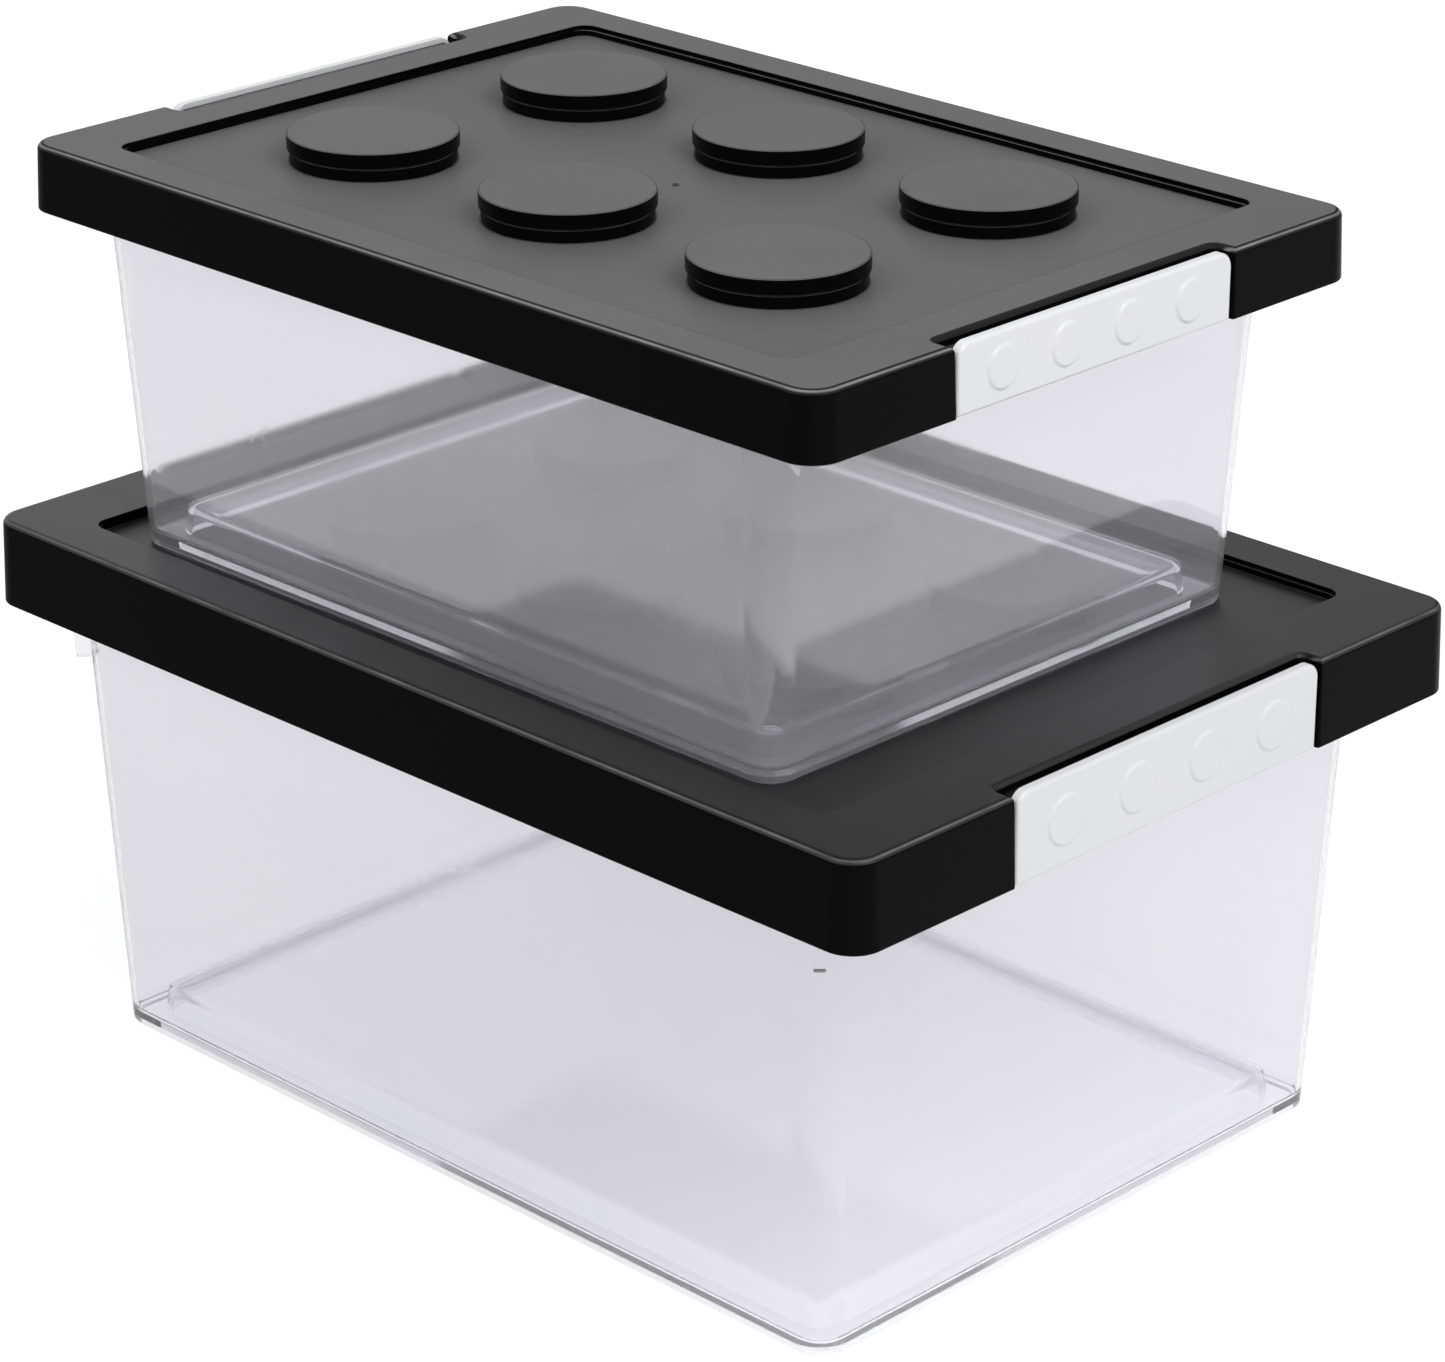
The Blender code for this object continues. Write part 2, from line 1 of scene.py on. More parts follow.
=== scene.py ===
# %% [markdown]
# # Two stacking storage boxes
#
# Two clear boxes of one design stand on each other. Each has four mouldings: a tapered clear bin, a
# black lid with six round studs, and a white latch at each short end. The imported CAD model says
# where everything is and how it moves. This lesson builds the surfaces that are seen: rounded
# edges, thin walls, grain, gloss and light.
#
# The CAD model is loaded first and never changed. Each finished piece stands in the place of one
# CAD node and rides on the same body.

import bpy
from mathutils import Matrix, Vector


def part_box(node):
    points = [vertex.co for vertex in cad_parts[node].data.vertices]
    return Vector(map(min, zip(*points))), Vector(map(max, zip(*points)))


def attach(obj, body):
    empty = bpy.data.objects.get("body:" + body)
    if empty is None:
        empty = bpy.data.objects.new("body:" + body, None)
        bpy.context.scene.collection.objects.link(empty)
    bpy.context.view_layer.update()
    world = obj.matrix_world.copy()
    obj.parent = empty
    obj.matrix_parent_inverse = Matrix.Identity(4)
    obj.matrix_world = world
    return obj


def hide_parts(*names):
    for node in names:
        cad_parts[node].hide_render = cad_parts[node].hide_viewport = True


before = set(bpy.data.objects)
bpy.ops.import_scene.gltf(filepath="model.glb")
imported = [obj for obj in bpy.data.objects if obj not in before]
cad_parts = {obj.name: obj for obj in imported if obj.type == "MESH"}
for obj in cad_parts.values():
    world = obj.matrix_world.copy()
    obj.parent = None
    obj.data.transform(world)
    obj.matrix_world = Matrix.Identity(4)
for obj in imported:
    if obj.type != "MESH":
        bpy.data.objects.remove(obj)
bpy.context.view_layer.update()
print("nodes:", ", ".join(sorted(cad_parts)))

# %% The modules that the lesson uses
from types import SimpleNamespace

import bmesh
import bpy
import numpy as np
from mathutils import Vector

# %% [markdown]
# ## Measuring the two boxes
#
# The boxes are one design in two sizes, so every piece is made by one function that is given a
# box. Places and outer sizes are read from the CAD nodes, so they can't drift from the frame. The
# sizes that a bounding box can't show, such as the inset of the lid's recess, are written here.

# %% Read each box from its CAD nodes
RECESS_DEPTH = 0.004


def box_from_frame(prefix, **sizes):
    """One box: its middle, half sizes and heights, read from the corners of its CAD nodes."""
    lid_low, lid_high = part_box(prefix + "_lid")
    bin_low, bin_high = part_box(prefix + "_bin")
    latch_low, latch_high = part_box(prefix + "_latch_right")
    box = SimpleNamespace(prefix=prefix, **sizes)
    box.middle = ((lid_low.x + lid_high.x) / 2, (lid_low.y + lid_high.y) / 2)
    box.half_x = (lid_high.x - lid_low.x) / 2
    box.half_y = (lid_high.y - lid_low.y) / 2
    box.top, box.skirt_bottom = latch_high.z, lid_low.z
    box.foot, box.rim_top = bin_low.z, bin_high.z
    box.latch_half = (latch_high.y - latch_low.y) / 2
    box.panel = box.top - RECESS_DEPTH
    return box


LOWER = box_from_frame(
    "lower", recess_inset=(0.0325, 0.021), rim_inset=(0.0265, 0.0125), taper=(0.0065, 0.010),
    disc_diameter=0.0185, disc_pitch=0.0345, gusset_drop=0.043)
UPPER = box_from_frame(
    "upper", recess_inset=(0.028, 0.0185), rim_inset=(0.0255, 0.0087), taper=(0.007, 0.008),
    disc_diameter=0.0158, disc_pitch=0.0299, gusset_drop=0.010)
for box in (LOWER, UPPER):
    print(f"{box.prefix} box: {2e3 * box.half_x:.0f} by {2e3 * box.half_y:.0f} mm, "
          f"foot at {1e3 * box.foot:.1f} mm, lid top at {1e3 * box.top:.1f} mm")

# %% [markdown]
# ## From outlines to surfaces
#
# Every moulding here is a section carried round an outline, closed by level faces. So three small
# helpers are enough: one bends a corner, one stretches faces between loops of points, and one fills
# a level face, with holes where studs or discs stand. Working in whole arrays keeps this quick and
# makes the formula easy to read.

# %% Corners and outlines
def bend(centre, radius, first, last, count):
    """count points on an arc: centre + radius * (cos t, sin t), t in degrees from first to last."""
    turn = np.radians(np.linspace(first, last, count))
    return np.asarray(centre) + radius * np.column_stack([np.cos(turn), np.sin(turn)])


def four_quarters(quarter):
    """A closed loop from one quarter of it, mirrored in both axes. The quarter runs from +X to +Y."""
    parts = [quarter, (quarter * (-1, 1))[::-1], quarter * (-1, -1), (quarter * (1, -1))[::-1]]
    keep = [part[:-1] if np.allclose(part[-1], after[0]) else part
            for part, after in zip(parts, parts[1:] + parts[:1])]
    return np.concatenate(keep)


def rounded_rectangle(half_x, half_y, radius, count=15):
    """A rectangle with round corners: each corner is a quarter circle about a point one radius in."""
    return four_quarters(bend((half_x - radius, half_y - radius), radius, 0, 90, count))


def at_height(loop, z):
    """A flat loop lifted to height z, which is one number or one for each point."""
    return np.column_stack([loop, np.broadcast_to(z, len(loop))])


def circle(centre, radius, count=96):
    """count points on a circle, the first and the last one step apart."""
    turn = np.linspace(0, 2 * np.pi, count, endpoint=False)
    return np.asarray(centre) + radius * np.column_stack([np.cos(turn), np.sin(turn)])


print("a corner of 4 mm:", np.round(bend((0, 0), 0.004, 0, 90, 3), 4).tolist())

# %% Faces between loops, and level faces with holes
def sleeve(loops):
    """Four-sided faces between each loop and the next. All the loops have as many points."""
    loops = np.asarray(loops)
    rows, columns = loops.shape[:2]
    here = np.arange(rows * columns).reshape(rows, columns)
    after = np.roll(here, -1, axis=1)
    faces = np.stack([here[:-1], after[:-1], after[1:], here[1:]], axis=-1).reshape(-1, 4)
    return loops.reshape(-1, 3), faces.tolist()


def level_face(loops, z):
    """The area inside the first loop and outside the others, as triangles, at height z."""
    counts = [len(loop) for loop in loops]
    starts = np.cumsum([0] + counts[:-1])
    points = at_height(np.concatenate(loops), z)
    edges = np.concatenate([start + np.column_stack([np.arange(n), (np.arange(n) + 1) % n])
                            for start, n in zip(starts, counts)])
    mesh = bpy.data.meshes.new("level face")
    mesh.from_pydata(points.tolist(), edges.tolist(), [])
    bm = bmesh.new()
    bm.from_mesh(mesh)
    bmesh.ops.triangle_fill(bm, use_beauty=True, use_dissolve=False, edges=bm.edges[:])
    bm.to_mesh(mesh)
    bm.free()
    corners = np.zeros(len(mesh.loops), dtype=int)
    mesh.loops.foreach_get("vertex_index", corners)
    bpy.data.meshes.remove(mesh)
    return points, corners.reshape(-1, 3).tolist()


def cap(loop, *holes):
    """The level face inside a lifted loop and outside lifted holes, at the loop's own height."""
    return level_face([ring[:, :2] for ring in (loop, *holes)], loop[0, 2])


SHORT = sleeve([at_height(circle((0, 0), 1, 8), z) for z in (0, 1)])
print("faces in a short sleeve:", len(SHORT[1]))

# %% [markdown]
# ## Turning patches into a piece
#
# The patches of a piece meet along shared loops, so their points are merged and the faces are
# turned outward. A weighted-normal modifier then lets the large flat faces decide the shading, and
# the narrow faces of the rounded edges do the bending. That is how a moulding's edge catches a
# thin line of light without any dent in the flats.

# %% Build, place and finish a mesh
def mesh_from(name, patches):
    """One mesh from patches of points and faces: shared points merged, faces turned outward."""
    starts = np.cumsum([0] + [len(points) for points, _ in patches])
    points = np.concatenate([points for points, _ in patches])
    faces = [[start + corner for corner in face]
             for start, (_, part) in zip(starts, patches) for face in part]
    mesh = bpy.data.meshes.new(name)
    mesh.from_pydata(points.tolist(), [], faces)
    bm = bmesh.new()
    bm.from_mesh(mesh)
    bmesh.ops.remove_doubles(bm, verts=bm.verts[:], dist=2e-6)
    bmesh.ops.dissolve_degenerate(bm, edges=bm.edges[:], dist=1e-6)
    bmesh.ops.recalc_face_normals(bm, faces=bm.faces[:])
    bm.to_mesh(mesh)
    bm.free()
    return mesh


def put_in_scene(name, mesh):
    """A new object for a mesh, at the origin."""
    piece = bpy.data.objects.new(name, mesh)
    bpy.context.scene.collection.objects.link(piece)
    return piece


def shade(piece, sharp=50):
    """Smooth shading, led by the flat faces, with edges sharper than this angle left crisp."""
    piece.data.shade_smooth()
    piece.data.set_sharp_from_angle(angle=np.radians(sharp))
    even = piece.modifiers.new("even shading", "WEIGHTED_NORMAL")
    even.mode = "FACE_AREA"
    even.weight = 100
    even.keep_sharp = True
    return piece


def stand_for(piece, node, body, finishes):
    """Give a piece its finishes, and let it stand and move in the place of a CAD node."""
    for finish in finishes:
        piece.data.materials.append(finish)
    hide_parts(node)
    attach(piece, body)
    low, high = np.array(piece.bound_box).min(0), np.array(piece.bound_box).max(0)
    print(f"{piece.name}: {len(piece.data.polygons)} faces, "
          f"{np.round(1e3 * (high - low), 1).tolist()} mm")


def with_shift(patches, box):
    """The same patches moved from the middle of the world to the middle of a box."""
    shift = np.array([*box.middle, 0.0])
    return [(np.asarray(points) + shift, faces) for points, faces in patches]


# %% [markdown]
# ## Effects that several finishes share
#
# Moulded plastic is never one flat colour. A spark-eroded mould leaves a fine grain, hands rub the
# edges, and flats pick up faint wipes. Each effect is a node group with named inputs, built once
# and used in several materials with other values. The groups put out only numbers, and the shader
# stays in the material.

# %% A helper for groups
def new_group(name, inputs, outputs):
    """An empty node group with number sockets. Returns the group, its input and its output node."""
    group = bpy.data.node_groups.new(name, "ShaderNodeTree")
    for label, value in inputs.items():
        socket = group.interface.new_socket(name=label, in_out="INPUT", socket_type="NodeSocketFloat")
        socket.default_value = value
    for label in outputs:
        group.interface.new_socket(name=label, in_out="OUTPUT", socket_type="NodeSocketFloat")
    return group, group.nodes.new("NodeGroupInput"), group.nodes.new("NodeGroupOutput")


def add_math(tree, operation, first, second=None, clamp=False):
    """A Math node. Each input is a socket or a number."""
    node = tree.nodes.new("ShaderNodeMath")
    node.operation, node.use_clamp = operation, clamp
    for socket, given in zip(node.inputs, (first, second)):
        if isinstance(given, bpy.types.NodeSocket):
            tree.links.new(given, socket)
        elif given is not None:
            socket.default_value = given
    return node.outputs[0]


def add_noise(tree, scale, detail=2.0, roughness=0.5, stretch=(1, 1, 1)):
    """Noise on Object coordinates, so that it stays with the piece. scale is in cycles a metre."""
    place = tree.nodes.new("ShaderNodeTexCoord")
    turn = tree.nodes.new("ShaderNodeMapping")
    turn.inputs["Scale"].default_value = stretch
    noise = tree.nodes.new("ShaderNodeTexNoise")
    noise.inputs["Detail"].default_value = detail
    noise.inputs["Roughness"].default_value = roughness
    if isinstance(scale, bpy.types.NodeSocket):
        tree.links.new(scale, noise.inputs["Scale"])
    else:
        noise.inputs["Scale"].default_value = scale
    tree.links.new(place.outputs["Object"], turn.inputs["Vector"])
    tree.links.new(turn.outputs["Vector"], noise.inputs["Vector"])
    return noise.outputs["Fac"]


def add_range(tree, value, low, high, new_low=0.0, new_high=1.0):
    """A Map Range node that clamps."""
    node = tree.nodes.new("ShaderNodeMapRange")
    tree.links.new(value, node.inputs["Value"])
    for label, number in (("From Min", low), ("From Max", high),
                          ("To Min", new_low), ("To Max", new_high)):
        node.inputs[label].default_value = number
    return node.outputs["Result"]


# %% Grain of the mould, and slow drift over the whole piece
def make_grain_group():
    """Fine even noise for the mould's grain, and broad noise for uneven gloss from wiping."""
    group, given, result = new_group(
        "moulded grain", {"Grain Scale": 1400.0, "Drift Scale": 9.0}, ["Grain", "Drift"])
    grain = add_noise(group, given.outputs["Grain Scale"], 1.0)
    drift = add_noise(group, given.outputs["Drift Scale"], 3.0, 0.55)
    group.links.new(grain, result.inputs["Grain"])
    group.links.new(add_range(group, drift, 0.3, 0.7), result.inputs["Drift"])
    return group


GRAIN = make_grain_group()
print("grain group:", [item.name for item in GRAIN.interface.items_tree])

# %% Rubbed edges, with an input for a painted highlight
def make_edge_group():
    """One minus the cosine between the true normal and a normal that looks round the edge.

    Rounded is a second mask given from outside; the lids put a painted highlight on round edges with
    it.
    """
    group, given, result = new_group(
        "rubbed edges", {"Width": 0.0012, "Break Up": 60.0, "Rounded": 0.0}, ["Edge"])
    looked_round = group.nodes.new("ShaderNodeBevel")
    looked_round.samples = 6
    group.links.new(given.outputs["Width"], looked_round.inputs["Radius"])
    true = group.nodes.new("ShaderNodeNewGeometry")
    cosine = group.nodes.new("ShaderNodeVectorMath")
    cosine.operation = "DOT_PRODUCT"
    group.links.new(looked_round.outputs["Normal"], cosine.inputs[0])
    group.links.new(true.outputs["Normal"], cosine.inputs[1])
    turned = add_math(group, "SUBTRACT", 1.0, cosine.outputs["Value"])
    edge = add_range(group, turned, 0.02, 0.25)
    patchy = add_range(group, add_noise(group, given.outputs["Break Up"], 3.0), 0.35, 0.65, 0.3, 1.0)
    either = add_math(group, "MAXIMUM", edge, given.outputs["Rounded"])
    group.links.new(add_math(group, "MULTIPLY", either, patchy), result.inputs["Edge"])
    return group


EDGE_WEAR_AND_HIGHLIGHT = make_edge_group()

# %% Hairline scuffs
def make_scuff_group():
    """Thin crossing lines: where long stretched noise passes through one middle value."""
    group, given, result = new_group("hairline scuffs", {"Scale": 14.0, "Fineness": 0.012}, ["Scuff"])
    lines = []
    for stretch in ((1, 14, 3), (12, 1.5, 2), (5, 9, 1)):
        noise = add_noise(group, given.outputs["Scale"], 2.0, 0.6, stretch)
        off = add_math(group, "ABSOLUTE", add_math(group, "SUBTRACT", noise, 0.5))
        share = add_math(group, "DIVIDE", off, given.outputs["Fineness"])
        lines.append(add_math(group, "SUBTRACT", 1.0, share, clamp=True))
    most = add_math(group, "MAXIMUM", add_math(group, "MAXIMUM", lines[0], lines[1]), lines[2])
    some = add_range(group, add_noise(group, 7.0, 2.0), 0.48, 0.62)
    group.links.new(add_math(group, "MULTIPLY", most, some), result.inputs["Scuff"])
    return group


SCUFFS = make_scuff_group()
print("groups:", [group.name for group in bpy.data.node_groups])

# %% [markdown]
# ## The finishes
#
# There are three plastics: black lids, white latches and clear bins. Each is one Principled shader
# whose colour and gloss are steered by the groups above. The grain goes into the Bump node, the
# drift and the scuffs into colour and roughness.

# %% A material with its shader, and a way to place a group in it
def new_finish(name, colour, roughness):
    """A material with one Principled shader."""
    finish = bpy.data.materials.new(name)
    finish.use_nodes = True
    shader = finish.node_tree.nodes["Principled BSDF"]
    shader.inputs["Base Color"].default_value = (*colour, 1)
    shader.inputs["Roughness"].default_value = roughness
    return finish, finish.node_tree, shader


def place_group(tree, group, **values):
    """A group node, with its inputs set by name (an underscore stands for a space)."""
    node = tree.nodes.new("ShaderNodeGroup")
    node.node_tree = group
    for label, value in values.items():
        node.inputs[label.replace("_", " ")].default_value = value
    return node.outputs


def blend_colours(tree, share, first, second):
    """A mix of two colours. Each is a socket or three numbers."""
    mix = tree.nodes.new("ShaderNodeMix")
    mix.data_type = "RGBA"
    tree.links.new(share, mix.inputs["Factor"])
    for socket, given in ((mix.inputs[6], first), (mix.inputs[7], second)):
        if isinstance(given, bpy.types.NodeSocket):
            tree.links.new(given, socket)
        else:
            socket.default_value = (*given, 1)
    return mix.outputs[2]


def add_bump(tree, shader, height, distance):
    """A Bump node on the shader's normal, whose height grows by distance from black to white."""
    bump = tree.nodes.new("ShaderNodeBump")
    bump.inputs["Distance"].default_value = distance
    bump.inputs["Strength"].default_value = 1.0
    tree.links.new(height, bump.inputs["Height"])
    tree.links.new(bump.outputs["Normal"], shader.inputs["Normal"])


# %% [markdown]
# The black plastic's level faces mirror the bright room at a low angle and look grey, while its
# upright faces look nearly black. That light is painted into the colour: a lid has two finishes of
# one plastic, a grey painted sheen on level faces and a near-black painted shade on upright ones.
# The upper lid's level faces are rougher and painted grey. The lower one's, under the other box,
# are glossier and painted nearly black, as painted shade from the box it carries.
#
# A rounded edge gets two painted lines: a painted dark line where the surface starts to turn away
# from the room, and a painted highlight after it. The Bevel node in the edge group can't find an
# edge as wide as this, so a mesh attribute says how far each point has turned.

# %% Black lid plastic: painted grey sheen on level faces, painted shade on the sides
# Spans of the turned attribute: a painted dark line, then the rise and fall of a painted highlight.
EDGE_PAINTED_SHADE = (0.03, 0.1)
EDGE_PAINTED_HIGHLIGHT_RISE = (0.26, 0.36)
EDGE_PAINTED_HIGHLIGHT_FALL = (0.46, 0.62)


def black_plastic(name, colour, wear_and_highlight, roughness, specular, grain_depth):
    """Black plastic: grain as bump, drift and scuffs, and on round edges painted shade and highlight.

    The mesh's "turned" attribute grows from 0 on a level face to 1 where an edge is upright.
    """
    finish, tree, shader = new_finish(name, colour, roughness)
    shader.inputs["Specular IOR Level"].default_value = specular
    grain = place_group(tree, GRAIN)
    edge = place_group(tree, EDGE_WEAR_AND_HIGHLIGHT)
    turned = tree.nodes.new("ShaderNodeAttribute")
    turned.attribute_name = "turned"
    start, rise, fall = (add_range(tree, turned.outputs["Fac"], *span)
                         for span in (EDGE_PAINTED_SHADE, EDGE_PAINTED_HIGHLIGHT_RISE, EDGE_PAINTED_HIGHLIGHT_FALL))
    # crown is the painted highlight band on a round edge, dark the painted dark line before it.
    crown = add_math(tree, "SUBTRACT", rise, fall, clamp=True)
    dark = add_math(tree, "SUBTRACT", start, crown, clamp=True)
    tree.links.new(crown, edge["Edge"].node.inputs["Rounded"])
    scuff = place_group(tree, SCUFFS)
    drifted = blend_colours(tree, grain["Drift"], colour, [1.2 * c for c in colour])
    # Rubbed wear, scuffs and the painted highlight all lighten the colour toward one paler grey.
    wear_scuffs_and_highlight = add_math(tree, "MAXIMUM", edge["Edge"], add_math(tree, "MULTIPLY", scuff["Scuff"], 0.12))
    rubbed_and_highlighted = blend_colours(tree, wear_scuffs_and_highlight, drifted, wear_and_highlight)
    # The painted dark line along round edges, a tenth of the base colour.
    with_painted_edge_shade = blend_colours(tree, dark, rubbed_and_highlighted, [0.1 * c for c in colour])
    tree.links.new(with_painted_edge_shade, shader.inputs["Base Color"])
    uneven = add_range(tree, grain["Drift"], 0, 1, roughness - 0.03, roughness + 0.04)
    rough = add_math(tree, "ADD", uneven, add_math(tree, "MULTIPLY", wear_scuffs_and_highlight, 0.10), clamp=True)
    tree.links.new(rough, shader.inputs["Roughness"])
    add_bump(tree, shader, grain["Grain"], grain_depth)
    return finish


# Painted sheen and shade: the upper lid's grey colour stands in for sheen, the lower lid's near-black
# one for the shade of the box it carries, and the sides' near-black one for shade.
LID_TOPS_PAINTED_SHEEN_AND_SHADE = {
    "upper": black_plastic("lid_top_matt_painted_sheen", (0.118, 0.118, 0.119), wear_and_highlight=(0.26, 0.26, 0.26),
                           roughness=0.5, specular=0.08, grain_depth=3e-5),
    "lower": black_plastic("lid_top_satin_painted_shade", (0.012, 0.012, 0.012), wear_and_highlight=(0.13, 0.13, 0.13),
                           roughness=0.4, specular=0.38, grain_depth=3e-5)}
LID_SIDE_PAINTED_SHADE = black_plastic("lid_side_painted_shade", (0.002, 0.002, 0.002), wear_and_highlight=(0.006, 0.006, 0.006),
                         roughness=0.3, specular=0.03, grain_depth=1e-5)

# %% [markdown]
# The latches are moulded in glossy white and handled most, so their gloss is the least even. The
# white stays near 0.8, as real white plastic does. A purer white would clip in bright light, and
# the low discs would lose their soft sides.

# %% White latch plastic
def white_plastic():
    """Glossy white plastic: faint grain, gloss that drifts, a trace of grey in the scuffs."""
    colour = (0.78, 0.785, 0.81)
    finish, tree, shader = new_finish("latch_gloss_white", colour, 0.2)
    grain = place_group(tree, GRAIN, Grain_Scale=900.0, Drift_Scale=22.0)
    scuff = place_group(tree, SCUFFS, Scale=30.0)
    drifted = blend_colours(tree, grain["Drift"], colour, (0.80, 0.80, 0.815))
    faint = add_math(tree, "MULTIPLY", scuff["Scuff"], 0.1)
    marked = blend_colours(tree, faint, drifted, (0.62, 0.62, 0.64))
    tree.links.new(marked, shader.inputs["Base Color"])
    uneven = add_range(tree, grain["Drift"], 0, 1, 0.18, 0.26)
    tree.links.new(add_math(tree, "ADD", uneven, faint), shader.inputs["Roughness"])
    add_bump(tree, shader, grain["Grain"], 6e-6)
    return finish


LATCH_WHITE = white_plastic()

# %% [markdown]
# The bins are clear, a little lavender, and slightly hazy from wiping. Alpha would make them
# see-through quickly, but then a wall has no thickness. Glass bends the light at both faces of the
# wall, so edges and corners draw themselves. Lamps would throw dark shadows through glass, so
# shadow rays meet a plain transparent shader instead.

# %% Clear bin plastic
def clear_plastic():
    """Clear plastic: glass with a lavender tint, and scuffs that blur it. Lamps pass through it."""
    tint = (0.895, 0.892, 0.925)
    finish, tree, shader = new_finish("bin_clear", tint, 0.04)
    shader.inputs["Transmission Weight"].default_value = 0.93
    shader.inputs["IOR"].default_value = 1.45
    grain = place_group(tree, GRAIN, Drift_Scale=12.0)
    scuff = place_group(tree, SCUFFS, Scale=9.0, Fineness=0.009)
    drifted = blend_colours(tree, grain["Drift"], tint, (0.915, 0.908, 0.935))
    tree.links.new(drifted, shader.inputs["Base Color"])
    hazy = add_range(tree, grain["Drift"], 0, 1, 0.03, 0.07)
    marked = add_math(tree, "ADD", hazy, add_math(tree, "MULTIPLY", scuff["Scuff"], 0.12))
    tree.links.new(marked, shader.inputs["Roughness"])
    see_through = tree.nodes.new("ShaderNodeBsdfTransparent")
    see_through.inputs["Color"].default_value = (0.93, 0.93, 0.95, 1)
    rays = tree.nodes.new("ShaderNodeLightPath")
    mix = tree.nodes.new("ShaderNodeMixShader")
    tree.links.new(rays.outputs["Is Shadow Ray"], mix.inputs[0])
    tree.links.new(shader.outputs["BSDF"], mix.inputs[1])
    tree.links.new(see_through.outputs["BSDF"], mix.inputs[2])
    tree.links.new(mix.outputs["Shader"], tree.nodes["Material Output"].inputs["Surface"])
    return finish


BIN_CLEAR = clear_plastic()
print("finishes:", [finish.name for finish in (*LID_TOPS_PAINTED_SHEEN_AND_SHADE.values(), LID_SIDE_PAINTED_SHADE, LATCH_WHITE, BIN_CLEAR)])

# %% [markdown]
# ## The lid
#
# The lid is a thin cap: a flat border with a rounded outer edge, a skirt that flares a little so
# that it leaves the mould, and a recessed panel where the next box stands. A notch in each short
# side takes the latch. The skirt is a section carried round the notched outline. Each point of the
# section has an inset from the outline and a height, and in the notch its height is lifted, because
# the wall behind the latch is short.

# %% The notched outline
LID_CORNER = 0.0115
NOTCH_DEPTH = 0.009
NOTCH_PLAY = 0.0006
NOTCH_INNER_RADIUS = 0.0018
NOTCH_MOUTH_RADIUS = 0.0012


def notched_outline(box, inset):
    """A rounded rectangle with a notch in each short side, moved inward by inset.

    Convex corners keep their centres and lose the inset from their radius, and the notch's inner
    corners gain it, so every inset gives the same number of points, one opposite the other.
    """
    back = box.half_x - NOTCH_DEPTH
    side = box.latch_half + NOTCH_PLAY
    inner = NOTCH_INNER_RADIUS
    mouth = max(NOTCH_MOUTH_RADIUS, inset + 1e-4)
    return four_quarters(np.concatenate([
        [(back - inset, 0)],
        bend((back + inner, side - inner), inner + inset, 180, 90, 7),
        bend((box.half_x - mouth, side + mouth), mouth - inset, -90, 0, 6),
        bend((box.half_x - LID_CORNER, box.half_y - LID_CORNER), LID_CORNER - inset, 0, 90, 19),
        [(0, box.half_y - inset)]]))


def behind_latch(box, loop, inset):
    """True for the loop's points on the wall behind the latch and the first half of its corners."""
    back = box.half_x - NOTCH_DEPTH - inset
    first_half = 0.3 * (NOTCH_INNER_RADIUS + inset)
    near_back = np.abs(loop[:, 0]) < back + first_half
    return near_back & (np.abs(loop[:, 1]) < box.latch_half + NOTCH_PLAY + inset)


print("points in a lid's outline:", len(notched_outline(LOWER, 0)))

# %% The skirt's section
MARGIN = 0.0006
LID_WALL = 0.0022
EDGE_RADIUS = 0.0024
SKIRT_FLARE = 0.0008
LIP_RADIUS = 0.0006


def skirt_section(box):
    """Inset and height of each loop: round the top edge, down the skirt, round its lip, up inside."""
    margin = [(SKIRT_FLARE + EDGE_RADIUS + MARGIN, box.top)]
    edge = bend((SKIRT_FLARE + EDGE_RADIUS, box.top - EDGE_RADIUS), EDGE_RADIUS, 90, 180, 9)
    bottom = box.skirt_bottom + LIP_RADIUS
    outside = bend((LIP_RADIUS, bottom), LIP_RADIUS, 180, 270, 5)
    inside = bend((LID_WALL - LIP_RADIUS, bottom), LIP_RADIUS, 270, 360, 5)
    ceiling = [(LID_WALL + SKIRT_FLARE, box.top - LID_WALL)]
    return np.concatenate([margin, edge, outside, inside, ceiling])


def skirt_loops(box):
    """The section carried round the outline, with the part below the edge pressed up in the notch."""
    edge_foot = box.top - EDGE_RADIUS
    seat = box.panel - LID_WALL
    short = (edge_foot - seat) / (edge_foot - box.skirt_bottom)
    loops = []
    for inset, z in skirt_section(box):
        loop = notched_outline(box, inset)
        press = np.where(behind_latch(box, loop, inset), short, 1.0)
        pressed = edge_foot - (edge_foot - z) * press
        loops.append(at_height(loop, z if z > edge_foot - 1e-6 else pressed))
    return loops


print("loops down the skirt:", len(skirt_loops(LOWER)))

# %% [markdown]
# The recess has a small step half way down its wall, seen in the photo as a thin light line along
# the far walls. The studs are turned shapes: a disc on a slightly narrower collar, hollow below.
# They are sleeves between circles, and the panel is a level face with a round hole for each.

# %% Recess and studs
FINE_RADIUS = 0.0003
RECESS_CORNER = 0.006
RECESS_EDGE = 0.0002
RECESS_STEP = 0.0006
STUD_RADIUS = 0.0296
STUD_REACH = (0.0958, 0.0499)
STUD_HEIGHT = 0.010
STUD_RIM = 0.0005
STUD_FOOT = 0.0002
COLLAR_INSET = 0.0008
COLLAR_HEIGHT = 0.0046
GROOVE_DEPTH = 0.0006
STUD_CENTRES = [(column * STUD_REACH[0], row * STUD_REACH[1])
                for column in (-1, 0, 1) for row in (-1, 1)]


def recess_loop(box, outset, step=0.0):
    """The recess's outline, made wider by outset. The step narrows the long walls alone."""
    return rounded_rectangle(box.half_x - box.recess_inset[0] + outset,
                             box.half_y - box.recess_inset[1] + outset - step,
                             RECESS_CORNER + outset)


